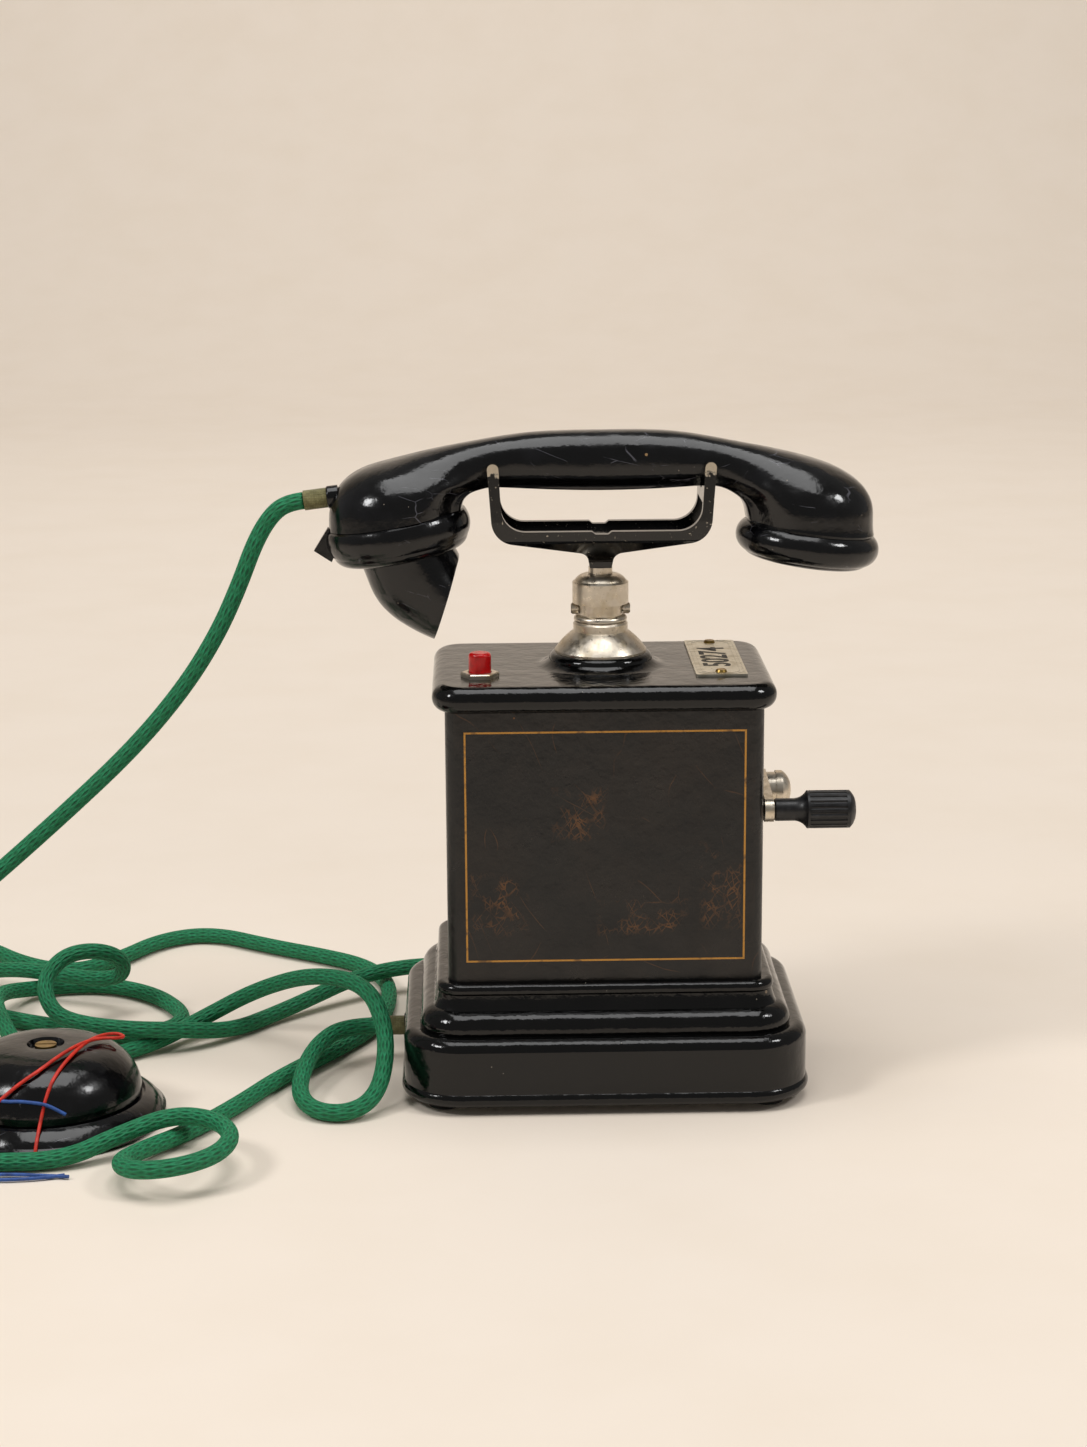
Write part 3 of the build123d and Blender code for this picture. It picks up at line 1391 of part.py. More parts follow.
with BuildPart() as rosette_cover:
    with BuildSketch(rosette_top):
        with BuildLine():
            dome_foot = rosette_flange_height - 1.6
            crown = rosette_height - 1.0
            inside = rosette_dome_radius - rosette_wall
            Line((rosette_dome_radius, dome_foot), (rosette_dome_radius, dome_foot + 5))
            ThreePointArc(
                (rosette_dome_radius, dome_foot + 5),
                (0.87 * rosette_dome_radius, rosette_height - 8.4),
                (0.6 * rosette_dome_radius, rosette_height - 1.6),
            )
            ThreePointArc(
                (0.6 * rosette_dome_radius, rosette_height - 1.6),
                (0.4 * rosette_dome_radius, rosette_height - 0.2),
                (rosette_dish, rosette_height),
            )
            Polyline(
                (rosette_dish, rosette_height),
                (rosette_dish - 1.0, crown - 1),
                (screw_radius + seat_gap, crown - 1),
                (screw_radius + seat_gap, rosette_height - rosette_wall - 4),
                (rosette_dish + 2, rosette_height - rosette_wall - 4),
                (0.58 * rosette_dome_radius, rosette_height - rosette_wall - 2),
            )
            ThreePointArc(
                (0.58 * rosette_dome_radius, rosette_height - rosette_wall - 2),
                (0.82 * inside, rosette_height - rosette_wall - 7.6),
                (inside, dome_foot + 4),
            )
            Polyline((inside, dome_foot + 4), (inside, dome_foot), (rosette_dome_radius, dome_foot))
        make_face()
    revolve(axis=Axis((rosette_x, rosette_y, 0), (0, 0, 1)))
save(rosette_cover.part, "rosette_cover")

with BuildPart() as rosette_screw:
    with Locations((rosette_x, rosette_y, rosette_height - 20)):
        Cylinder(screw_radius, 18, align=standing)
    with Locations((rosette_x, rosette_y, rosette_height - 2)):
        Cylinder(4.6, 1.6, align=standing)
    with BuildSketch(Plane.XY.offset(rosette_height - 1.2)):
        with Locations((rosette_x, rosette_y)):
            Rectangle(12, 1)
    extrude(amount=1, mode=Mode.SUBTRACT)
save(rosette_screw.part, "rosette_screw")
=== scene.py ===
import bpy
import bmesh
from math import cos, pi, radians, sin, tau
from mathutils import Matrix, Vector


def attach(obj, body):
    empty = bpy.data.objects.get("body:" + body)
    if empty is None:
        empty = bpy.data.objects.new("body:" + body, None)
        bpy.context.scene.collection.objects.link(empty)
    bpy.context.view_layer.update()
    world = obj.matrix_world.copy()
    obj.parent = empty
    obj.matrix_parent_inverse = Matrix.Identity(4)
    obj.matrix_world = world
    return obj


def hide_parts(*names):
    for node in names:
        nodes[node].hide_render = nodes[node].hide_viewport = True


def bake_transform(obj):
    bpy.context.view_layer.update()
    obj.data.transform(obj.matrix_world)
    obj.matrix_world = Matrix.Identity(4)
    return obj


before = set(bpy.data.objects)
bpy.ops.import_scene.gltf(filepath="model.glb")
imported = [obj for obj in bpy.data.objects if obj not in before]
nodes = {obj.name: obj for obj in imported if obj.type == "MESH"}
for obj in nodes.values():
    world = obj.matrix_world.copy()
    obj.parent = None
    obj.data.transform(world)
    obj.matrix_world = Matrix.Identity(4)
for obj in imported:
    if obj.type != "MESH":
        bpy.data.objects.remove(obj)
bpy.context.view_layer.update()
print("frame loaded,", len(nodes), "nodes")

mm = 0.001


def linear(code):  # an sRGB hex colour as linear values
    values = [int(code[i : i + 2], 16) / 255 for i in (1, 3, 5)]
    return [v / 12.92 if v <= 0.04045 else ((v + 0.055) / 1.055) ** 2.4 for v in values] + [1.0]


def addNode(mat, kind, inputs={}, **settings):  # one shader node, its settings and its links
    node = mat.node_tree.nodes.new("ShaderNode" + kind)
    for key, value in settings.items():
        setattr(node, key, value)
    for socket, value in inputs.items():
        if isinstance(value, bpy.types.NodeSocket):
            mat.node_tree.links.new(value, node.inputs[socket])
        else:
            node.inputs[socket].default_value = linear(value) if isinstance(value, str) else value
    return node.outputs


def newMaterial(name, settings):  # base colour, roughness and other sockets of the shader
    mat = bpy.data.materials.new(name)
    mat.use_nodes = True
    for socket, value in settings.items():
        value = linear(value) if isinstance(value, str) else value
        mat.node_tree.nodes["Principled BSDF"].inputs[socket].default_value = value
    return mat


def feed(mat, **sources):  # links sources to the shader, such as Base_Color=...
    shader = mat.node_tree.nodes["Principled BSDF"]
    for socket, source in sources.items():
        mat.node_tree.links.new(source, shader.inputs[socket.replace("_", " ")])


def inMm(mat, stretch=(1, 1, 1), turn=(0, 0, 0)):  # object coordinates in millimetres, turned and stretched
    place = addNode(mat, "TexCoord")["Object"]
    scale = [s * mm for s in stretch]
    return addNode(
        mat,
        "Mapping",
        {"Vector": place, "Rotation": turn, "Scale": scale},
        vector_type="TEXTURE",
    )[0]


def mottle(mat, size, low, high, dark=0.0, bright=1.0, detail=4.0, coords=None):
    # soft patches of a size in millimetres, from dark to bright
    patch = addNode(
        mat,
        "TexNoise",
        {"Vector": coords or inMm(mat), "Scale": 1 / size, "Detail": detail, "Roughness": 0.55},
    )[0]
    return addNode(
        mat,
        "MapRange",
        {"Value": patch, "From Min": low, "From Max": high, "To Min": dark, "To Max": bright},
    )[0]


def specks(mat, spacing, size, share, coords=None):
    # chips and dust: one grain in each cell, kept where a coarse noise is high
    coords = coords or inMm(mat)
    grain = addNode(mat, "TexVoronoi", {"Vector": coords, "Scale": 1 / spacing, "Randomness": 1.0})
    spot = addNode(mat, "Math", {0: grain["Distance"], 1: size / spacing}, operation="LESS_THAN")[0]
    keep = addNode(mat, "SeparateColor", {0: grain["Color"]})[0]
    kept = addNode(mat, "Math", {0: keep, 1: share}, operation="LESS_THAN")[0]
    return addNode(mat, "Math", {0: spot, 1: kept}, operation="MULTIPLY")[0]


def hairlines(mat, spacing, width, stretch, turn):
    # fine scratches: edges of long warped cells
    coords = inMm(mat, stretch, turn)
    warp = addNode(mat, "TexNoise", {"Vector": coords, "Scale": 0.6 / spacing, "Detail": 2.0})["Color"]
    spread = addNode(mat, "VectorMath", {0: warp, 1: (spacing,) * 3}, operation="MULTIPLY")[0]
    bent = addNode(mat, "VectorMath", {0: spread, 1: coords}, operation="ADD")[0]
    cell = addNode(
        mat, "TexVoronoi", {"Vector": bent, "Scale": 1 / spacing}, feature="DISTANCE_TO_EDGE"
    )["Distance"]
    return addNode(mat, "Math", {0: cell, 1: width / spacing}, operation="LESS_THAN")[0]


def blendColors(mat, *layers):  # the first colour, then (factor, colour) over it in turn
    colour = layers[0]
    for factor, over in layers[1:]:
        colour = addNode(mat, "Mix", {0: factor, 6: colour, 7: over}, data_type="RGBA")[2]
    return colour


def relief(mat, *layers):  # bumps laid on each other, each (height, depth in mm)
    normal = None
    for height, depth in layers:
        inputs = {"Height": height, "Distance": depth * mm}
        if normal:
            inputs["Normal"] = normal
        normal = addNode(mat, "Bump", inputs)[0]
    feed(mat, Normal=normal)


def nearBox(mat, centre, half, soft):  # 1 inside a box round a place in millimetres, fading outside it
    place = addNode(mat, "VectorMath", {0: inMm(mat), 1: centre}, operation="SUBTRACT")[0]
    away = addNode(mat, "VectorMath", {0: place}, operation="ABSOLUTE")[0]
    share = addNode(mat, "VectorMath", {0: away, 1: half}, operation="DIVIDE")[0]
    x, y, z = addNode(mat, "SeparateXYZ", {0: share})
    most = addNode(
        mat,
        "Math",
        {0: addNode(mat, "Math", {0: x, 1: y}, operation="MAXIMUM")[0], 1: z},
        operation="MAXIMUM",
    )[0]
    return addNode(mat, "MapRange", {"Value": most, "From Min": 1.0 + soft, "From Max": 1.0})[0]

# stove enamel on pressed steel: deep black gloss with dust, small chips and dull handling marks
enamelLook = {"black": "#040404", "haze": "#0e0d0d", "dust": "#8f887c", "chip": "#7a6a57"}
enamel = newMaterial(
    "stove enamel",
    {"Base Color": enamelLook["black"], "Roughness": 0.1, "Specular IOR Level": 0.4},
)
feed(
    enamel,
    Base_Color=blendColors(
        enamel,
        enamelLook["black"],
        (mottle(enamel, 16, 0.52, 0.8, 0, 0.5), enamelLook["haze"]),
        (specks(enamel, 5, 0.22, 0.3), enamelLook["dust"]),
        (specks(enamel, 17, 0.7, 0.22), enamelLook["chip"]),
    ),
    Roughness=mottle(enamel, 11, 0.35, 0.75, 0.06, 0.2),
)
relief(enamel, (mottle(enamel, 9, 0.2, 0.8), 0.25), (mottle(enamel, 1.2, 0.2, 0.8), 0.012))

# hand brushed lacquer on the case: brown black, rubbed through to ochre in places, with a gold line
lacquerLook = {
    "black": "#090808", "worn": "#261d16", "rubbed": "#6b4420", "gold": "#b98230", "goldWorn": "#4d3620",
    "lineX": 59.64, "lineLow": 63.1, "lineHigh": 164.2, "lineWidth": 0.8, "front": -45.5,
}
lacquer = newMaterial(
    "brushed lacquer", {"Base Color": lacquerLook["black"], "Roughness": 0.25, "Specular IOR Level": 0.45}
)
rubbedPlaces = [  # centre and half size of each rubbed patch on the front, in millimetres
    ((-11, -46, 128), (7, 3, 7), 0.8),
    ((-46, -46, 88), (8, 3, 9), 0.7),
    ((50, -46, 96), (6, 3, 12), 0.7),
    ((16, -46, 82), (12, 3, 5), 0.7),
]
rubbed = None
for centre, half, soft in rubbedPlaces:
    patch = nearBox(lacquer, centre, half, soft)
    rubbed = addNode(lacquer, "Math", {0: rubbed, 1: patch}, operation="MAXIMUM")[0] if rubbed else patch
clusters = addNode(lacquer, "Math", {0: rubbed, 1: mottle(lacquer, 8, 0.46, 0.66)}, operation="MULTIPLY")[0]
fineLines = addNode(
    lacquer,
    "Math",
    {
        0: hairlines(lacquer, 2.6, 0.11, (1, 1, 3.5), (0, 0.7, 0)),
        1: hairlines(lacquer, 3.4, 0.12, (1, 1, 3.0), (0, -0.5, 0.0)),
    },
    operation="MAXIMUM",
)[0]
scored = addNode(lacquer, "Math", {0: clusters, 1: fineLines}, operation="MULTIPLY")[0]
stray = addNode(
    lacquer,
    "Math",
    {0: hairlines(lacquer, 24, 0.12, (1, 1, 2.2), (0, -0.6, 0)), 1: mottle(lacquer, 22, 0.5, 0.62)},
    operation="MULTIPLY",
)[0]
x, y, z = addNode(lacquer, "SeparateXYZ", {0: inMm(lacquer)})
lineMid = (lacquerLook["lineLow"] + lacquerLook["lineHigh"]) / 2
lineHalf = (lacquerLook["lineHigh"] - lacquerLook["lineLow"]) / 2
fromSide = addNode(
    lacquer,
    "Math",
    {0: addNode(lacquer, "Math", {0: x}, operation="ABSOLUTE")[0], 1: lacquerLook["lineX"]},
    operation="SUBTRACT",
)[0]
height = addNode(lacquer, "Math", {0: z, 1: lineMid}, operation="SUBTRACT")[0]
fromEnd = addNode(
    lacquer,
    "Math",
    {0: addNode(lacquer, "Math", {0: height}, operation="ABSOLUTE")[0], 1: lineHalf},
    operation="SUBTRACT",
)[0]
edge = addNode(lacquer, "Math", {0: fromSide, 1: fromEnd}, operation="MAXIMUM")[0]
edge = addNode(lacquer, "Math", {0: edge}, operation="ABSOLUTE")[0]
onLine = addNode(lacquer, "Math", {0: edge, 1: lacquerLook["lineWidth"] / 2}, operation="LESS_THAN")[0]
onFront = addNode(lacquer, "Math", {0: y, 1: lacquerLook["front"]}, operation="LESS_THAN")[0]
pinstripe = addNode(lacquer, "Math", {0: onLine, 1: onFront}, operation="MULTIPLY")[0]
feed(
    lacquer,
    Base_Color=blendColors(
        lacquer,
        lacquerLook["black"],
        (
            addNode(
                lacquer,
                "Math",
                {0: mottle(lacquer, 30, 0.4, 0.75, 0, 0.55), 1: onFront},
                operation="MULTIPLY",
            )[0],
            lacquerLook["worn"],
        ),
        (addNode(lacquer, "Math", {0: clusters, 1: 0.35}, operation="MULTIPLY")[0], lacquerLook["worn"]),
        (addNode(lacquer, "Math", {0: scored, 1: 0.7}, operation="MULTIPLY")[0], lacquerLook["rubbed"]),
        (addNode(lacquer, "Math", {0: stray, 1: 0.35}, operation="MULTIPLY")[0], lacquerLook["rubbed"]),
        (specks(lacquer, 14, 0.45, 0.25), lacquerLook["rubbed"]),
        (pinstripe, lacquerLook["gold"]),
        (
            addNode(
                lacquer,
                "Math",
                {0: pinstripe, 1: mottle(lacquer, 5, 0.56, 0.7, 0, 0.8)},
                operation="MULTIPLY",
            )[0],
            lacquerLook["goldWorn"],
        ),
    ),
    Roughness=mottle(lacquer, 18, 0.3, 0.7, 0.24, 0.42),
)
relief(
    lacquer,
    (mottle(lacquer, 7, 0.3, 0.7), 0.2),
    (mottle(lacquer, 1.6, 0.3, 0.7), 0.03),
    (addNode(lacquer, "Math", {0: scored, 1: -1.0}, operation="MULTIPLY")[0], 0.02),
)

# compression moulded phenolic, polished: blue black, with scuffs and grey dust in the pores
bakeliteLook = {"black": "#040405", "scuff": "#131317", "dust": "#857c70", "chip": "#8f7350"}
bakelite = newMaterial(
    "polished phenolic",
    {"Base Color": bakeliteLook["black"], "Roughness": 0.15, "Specular IOR Level": 0.45},
)
feed(
    bakelite,
    Base_Color=blendColors(
        bakelite,
        bakeliteLook["black"],
        (mottle(bakelite, 12, 0.5, 0.78, 0, 0.7), bakeliteLook["scuff"]),
        (specks(bakelite, 5.5, 0.26, 0.3), bakeliteLook["dust"]),
        (specks(bakelite, 19, 0.8, 0.2), bakeliteLook["chip"]),
        (
            addNode(
                bakelite,
                "Math",
                {
                    0: hairlines(bakelite, 9, 0.1, (3, 1, 1), (0, 0.3, 0.2)),
                    1: mottle(bakelite, 16, 0.55, 0.62),
                },
                operation="MULTIPLY",
            )[0],
            "#4a4a50",
        ),
    ),
    Roughness=mottle(bakelite, 9, 0.35, 0.75, 0.1, 0.26),
)
relief(bakelite, (mottle(bakelite, 14, 0.2, 0.8), 0.3), (mottle(bakelite, 0.8, 0.2, 0.8), 0.008))

# nickel plate gone dull and warm: brushed, with tarnish that brings out the brass
nickelLook = {"plate": "#d9cfbf", "brassy": "#b5a27c", "spot": "#5f5548"}
nickel = newMaterial(
    "dull nickel plate",
    {"Base Color": nickelLook["plate"], "Roughness": 0.3, "Metallic": 1.0},
)
feed(
    nickel,
    Base_Color=blendColors(
        nickel,
        nickelLook["plate"],
        (mottle(nickel, 7, 0.45, 0.75, 0, 0.75), nickelLook["brassy"]),
        (
            addNode(
                nickel,
                "Math",
                {0: mottle(nickel, 1.3, 0.6, 0.72), 1: mottle(nickel, 6, 0.5, 0.6)},
                operation="MULTIPLY",
            )[0],
            nickelLook["spot"],
        ),
    ),
    Roughness=mottle(nickel, 2.4, 0.3, 0.7, 0.24, 0.46),
)
relief(nickel, (mottle(nickel, 0.5, 0.3, 0.7), 0.006))

# the cradle: black enamel over nickel, worn bright at the prong tips and along the arms' edges
cradleLook = {"tip": 269.5, "black": "#060606", "metal": "#d6ccba"}
cradleFinish = newMaterial("worn cradle enamel", {"Base Color": cradleLook["black"], "Roughness": 0.28})
z = addNode(cradleFinish, "SeparateXYZ", {0: inMm(cradleFinish)})[2]
ragged = addNode(
    cradleFinish,
    "Math",
    {0: mottle(cradleFinish, 2.5, 0.2, 0.8, -3, 3), 1: z},
    operation="ADD",
)[0]
bare = addNode(
    cradleFinish,
    "MapRange",
    {"Value": ragged, "From Min": cradleLook["tip"], "From Max": cradleLook["tip"] + 1},
)[0]
rubbedSpots = addNode(
    cradleFinish,
    "Math",
    {0: mottle(cradleFinish, 1.5, 0.66, 0.72), 1: 0.7},
    operation="MULTIPLY",
)[0]
bare = addNode(cradleFinish, "Math", {0: bare, 1: rubbedSpots}, operation="MAXIMUM")[0]
feed(
    cradleFinish,
    Base_Color=blendColors(cradleFinish, cradleLook["black"], (bare, cradleLook["metal"])),
    Metallic=bare,
    Roughness=mottle(cradleFinish, 6, 0.3, 0.7, 0.08, 0.22),
)

# cotton braid over the cords: ends laid crosswise over fine ribs, with painted shade in the gaps and a
# painted highlight on the thread tops
# its UV runs round (0 to 1) and along in metres
# deep is painted shade for the gaps between the threads; bright is a painted highlight on the thread tops and
# also the sheen's tint
braidLook = {"thread": "#0d7a4a", "bright": "#22996a", "deep": "#075534", "ends": 12, "pitch": 6.5}
braid = newMaterial(
    "green cotton braid",
    {
        "Base Color": braidLook["thread"],
        "Roughness": 0.75,
        "Sheen Weight": 0.35,
        "Sheen Tint": braidLook["bright"],
    },
)
around, along, _ = addNode(braid, "SeparateXYZ", {0: addNode(braid, "TexCoord")["UV"]})
aroundTurns = addNode(braid, "Math", {0: around, 1: braidLook["ends"] * tau}, operation="MULTIPLY")[0]
alongTurns = addNode(braid, "Math", {0: along, 1: 1000 / braidLook["pitch"] * tau}, operation="MULTIPLY")[0]
wave = []
for sign in ("ADD", "SUBTRACT"):
    wave.append(
        addNode(
            braid,
            "Math",
            {0: addNode(braid, "Math", {0: aroundTurns, 1: alongTurns}, operation=sign)[0]},
            operation="SINE",
        )[0],
    )
crossed = addNode(braid, "Math", {0: wave[0], 1: wave[1]}, operation="MAXIMUM")[0]
rib = addNode(
    braid,
    "Math",
    {0: addNode(braid, "Math", {0: around, 1: 14 * tau}, operation="MULTIPLY")[0]},
    operation="SINE",
)[0]
cloth = addNode(
    braid,
    "Math",
    {
        0: addNode(braid, "Math", {0: crossed, 1: 0.6}, operation="MULTIPLY")[0],
        1: addNode(braid, "Math", {0: rib, 1: 0.4}, operation="MULTIPLY")[0],
    },
    operation="ADD",
)[0]
lit = addNode(braid, "MapRange", {"Value": cloth, "From Min": -0.6, "From Max": 0.9})[0]
# patches where the raised threads get the painted highlight
highlightMottle = mottle(braid, 3.0, 0.4, 0.7, 0, 0.6)
feed(
    braid,
    Base_Color=blendColors(
        braid,
        braidLook["deep"],
        (lit, braidLook["thread"]),
        (addNode(braid, "Math", {0: lit, 1: highlightMottle}, operation="MULTIPLY")[0], braidLook["bright"]),
    ),
)
relief(braid, (cloth, 0.35))

# woven cotton sleeve over each cord end, olive, faded, with painted shade in the hollows of the weave
oliveLook = {"thread": "#6f693b", "pale": "#8d8657", "deep": "#37341c", "threadSize": 0.7}
olive = newMaterial(
    "olive woven sleeve",
    {"Base Color": oliveLook["thread"], "Roughness": 0.8, "Sheen Weight": 0.2},
)
weaveCoords = inMm(olive, (oliveLook["threadSize"],) * 3)
weave = addNode(olive, "TexVoronoi", {"Vector": weaveCoords, "Scale": 1.0, "Randomness": 0.25})["Distance"]
# deep darkens the weave's hollows: painted shade between the threads
feed(
    olive,
    Base_Color=blendColors(
        olive,
        oliveLook["pale"],
        (mottle(olive, 4, 0.4, 0.6), oliveLook["thread"]),
        (addNode(olive, "Math", {0: weave, 1: 0.75}, operation="MULTIPLY")[0], oliveLook["deep"]),
    ),
)
relief(olive, (addNode(olive, "Math", {0: weave, 1: -1.0}, operation="MULTIPLY")[0], 0.3))

# etched nickel silver plate: rubbed bright, dark in the hollows
plateLook = {"metal": "#d8d1bf", "worn": "#ab9f80", "dark": "#3b342a"}
plateMetal = newMaterial(
    "etched nickel silver",
    {"Base Color": plateLook["metal"], "Roughness": 0.34, "Metallic": 0.9},
)
feed(
    plateMetal,
    Base_Color=blendColors(
        plateMetal,
        plateLook["metal"],
        (mottle(plateMetal, 5, 0.48, 0.72, 0, 0.8), plateLook["worn"]),
        (specks(plateMetal, 2.6, 0.3, 0.3), plateLook["dark"]),
    ),
    Roughness=mottle(plateMetal, 2, 0.3, 0.7, 0.28, 0.5),
)

# dyed cast resin button: clear red with a polished top
redLook = {"red": "#c40a0c", "deep": "#a00709"}
redResin = newMaterial(
    "red cast resin",
    {"Base Color": redLook["red"], "Roughness": 0.22, "Specular IOR Level": 0.4},
)
feed(
    redResin,
    Base_Color=blendColors(redResin, redLook["red"], (mottle(redResin, 3, 0.4, 0.7), redLook["deep"])),
)
relief(redResin, (mottle(redResin, 1.5, 0.3, 0.7), 0.03))

# fluted phenolic of the crank grip: duller than the handset, grey in the flutes
gripFinish = newMaterial("fluted phenolic", {"Base Color": "#0c0c0e", "Roughness": 0.36})
feed(
    gripFinish,
    Base_Color=blendColors(gripFinish, "#0c0c0e", (mottle(gripFinish, 3, 0.5, 0.75, 0, 0.6), "#2d2d31")),
    Roughness=mottle(gripFinish, 4, 0.3, 0.7, 0.28, 0.5),
)


def plainFinish(name, base, other, roughness, metallic, grain, depth):  # two mottled tones with a fine bump
    mat = newMaterial(name, {"Base Color": base, "Roughness": roughness, "Metallic": metallic})
    feed(
        mat,
        Base_Color=blendColors(mat, base, (mottle(mat, grain * 6, 0.4, 0.7), other)),
        Roughness=mottle(mat, grain * 3, 0.3, 0.7, roughness * 0.8, min(1, roughness * 1.25)),
    )
    relief(mat, (mottle(mat, grain, 0.3, 0.7), depth))
    return mat


rubber = plainFinish("moulded rubber", "#131312", "#23221f", 0.72, 0.0, 1.0, 0.05)
brass = plainFinish("turned brass", "#a98b4c", "#7d6436", 0.32, 1.0, 0.8, 0.01)
zinc = plainFinish("zinc plated steel", "#9a9b9c", "#77787a", 0.38, 1.0, 1.5, 0.01)
oiled = plainFinish("oiled spring steel", "#6f7073", "#4d4d50", 0.3, 1.0, 0.8, 0.01)
iron = plainFinish("laminated soft iron", "#4a4a4d", "#333335", 0.48, 0.85, 0.5, 0.03)
magnetPaint = plainFinish("magnet lacquer", "#57160f", "#34100c", 0.34, 0.0, 1.2, 0.03)
fibreBoard = plainFinish("vulcanised fibre", "#5c3620", "#45281a", 0.62, 0.0, 0.6, 0.03)
copper = plainFinish("enamelled copper wire", "#80401f", "#5d2d15", 0.32, 0.6, 0.4, 0.08)
silk = plainFinish("silk covered wire", "#1d4529", "#15301e", 0.6, 0.0, 0.4, 0.08)
pressed = plainFinish("pressed aluminium", "#a5a7a9", "#86888a", 0.4, 1.0, 1.0, 0.02)
redWire = plainFinish("red rubber wire", "#d3280f", "#a51c0b", 0.45, 0.0, 0.6, 0.03)
blueWire = plainFinish("blue rubber wire", "#2a56a0", "#1d3d78", 0.45, 0.0, 0.6, 0.03)
plateInk = plainFinish("blackened etching", "#1c1813", "#2f281e", 0.6, 0.0, 0.5, 0.02)

finishes = {
    enamel: ["plinth", "lid"],
    lacquer: ["body_shell"],
    cradleFinish: ["cradle"],
    nickel: [
        "column_tube",
        "column_foot",
        "column_ring",
        "cap_nut",
        "neck_screws",
        "column_nut",
        "plunger",
        "crank_bearing",
        "crank_arm",
        "crank_cap",
        "button_housing",
    ],
    bakelite: [
        "handset_shell",
        "mouth_cap",
        "mouth_horn",
        "ear_cap",
        "cord_collar",
        "rosette_base",
        "rosette_cover",
    ],
    gripFinish: ["crank_grip"],
    rubber: ["rubber_feet", "cord_glands"],
    brass: [
        "drive_gear",
        "magneto_end_plates",
        "plate_screws",
        "ringer_gongs",
        "clapper",
        "terminal_screws",
        "switch_blades",
        "rosette_screw",
    ],
    zinc: [
        "base_plate",
        "chassis_plate",
        "switch_bracket",
        "magneto_bolts",
        "base_screws",
        "ear_diaphragm",
    ],
    oiled: ["return_spring", "button_spring", "crank_shaft", "armature_shaft"],
    iron: ["armature", "pole_pieces", "ringer_frame"],
    magnetPaint: ["magnets"],
    fibreBoard: ["terminal_strip"],
    copper: ["armature_winding"],
    silk: ["ringer_coils", "induction_coil"],
    pressed: ["transmitter_capsule", "receiver_capsule", "capacitor"],
    plateMetal: ["number_plate"],
    redResin: ["push_button"],
    olive: ["handset_sleeve", "base_sleeve"],
    braid: ["handset_cord", "line_cord"],
}
for finish, names in finishes.items():
    for name in names:
        nodes[name].data.materials.clear()
        nodes[name].data.materials.append(finish)
print("finishes set")


def keepPiece(name, bm, finish, body, smooth=True):  # a bmesh becomes a piece that rides on a body
    mesh = bpy.data.meshes.new(name)
    bm.to_mesh(mesh)
    bm.free()
    for face in mesh.polygons:
        face.use_smooth = smooth
    piece = bpy.data.objects.new(name, mesh)
    bpy.context.scene.collection.objects.link(piece)
    mesh.materials.append(finish)
    if body:
        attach(piece, body)
    return piece


def smoothLine(name, route):  # points of the NURBS spline that a route in millimetres controls
    curve = bpy.data.curves.new(name, "CURVE")
    curve.dimensions = "3D"
    curve.resolution_u = 14
    spline = curve.splines.new("NURBS")
    spline.points.add(len(route) - 1)
    for point, place in zip(spline.points, route):
        point.co = (*[value * mm for value in place], 1)
    spline.order_u = 3
    spline.use_endpoint_u = True
    holder = bpy.data.objects.new(name, curve)
    mesh = bpy.data.meshes.new_from_object(holder)
    line = [vertex.co.copy() for vertex in mesh.vertices]
    bpy.data.objects.remove(holder)
    apart = [here for here, after in zip(line, line[1:]) if (after - here).length > 1e-5]
    return apart + line[-1:]


def lengthOf(line):
    return sum((after - here).length for here, after in zip(line, line[1:]))


def tubeAlong(line, radius, sides):  # a ring extruded along a line, with UV round (0 to 1) and along (metres)
    bm = bmesh.new()
    heading = (line[1] - line[0]).normalized()
    start = Matrix.Translation(line[0]) @ heading.to_track_quat("Z", "Y").to_matrix().to_4x4()
    ring = bmesh.ops.create_circle(bm, segments=sides, radius=radius, matrix=start)["verts"]
    place = {vertex: (index, 0.0) for index, vertex in enumerate(ring)}
    edges = list(bm.edges)
    travelled = 0.0
    for index in range(1, len(line)):
        step = line[index] - line[index - 1]
        travelled += step.length
        after = line[index + 1] - line[index] if index + 1 < len(line) else step
        bend = (step.normalized() + after.normalized()).normalized()
        turn = heading.rotation_difference(bend).to_matrix().to_4x4()
        heading = bend
        old = {tuple(vertex.co): place[vertex][0] for edge in edges for vertex in edge.verts}
        made = bmesh.ops.extrude_edge_only(bm, edges=edges)["geom"]
        verts = [item for item in made if isinstance(item, bmesh.types.BMVert)]
        edges = [item for item in made if isinstance(item, bmesh.types.BMEdge)]
        edges = [edge for edge in edges if all(vertex in verts for vertex in edge.verts)]
        for vertex in verts:
            place[vertex] = (old[tuple(vertex.co)], travelled)
        move = Matrix.Translation(line[index]) @ turn @ Matrix.Translation(-line[index - 1])
        bmesh.ops.transform(bm, matrix=move, verts=verts)
    layer = bm.loops.layers.uv.new("along")
    for face in bm.faces:
        wraps = {place[vertex][0] for vertex in face.verts} >= {0, sides - 1}
        for loop in face.loops:
            index, distance = place[loop.vert]
            loop[layer].uv = ((sides if wraps and index == 0 else index) / sides, distance)
    bmesh.ops.holes_fill(bm, edges=[edge for edge in bm.edges if edge.is_boundary], sides=sides)
    bmesh.ops.recalc_face_normals(bm, faces=bm.faces)
    return bm


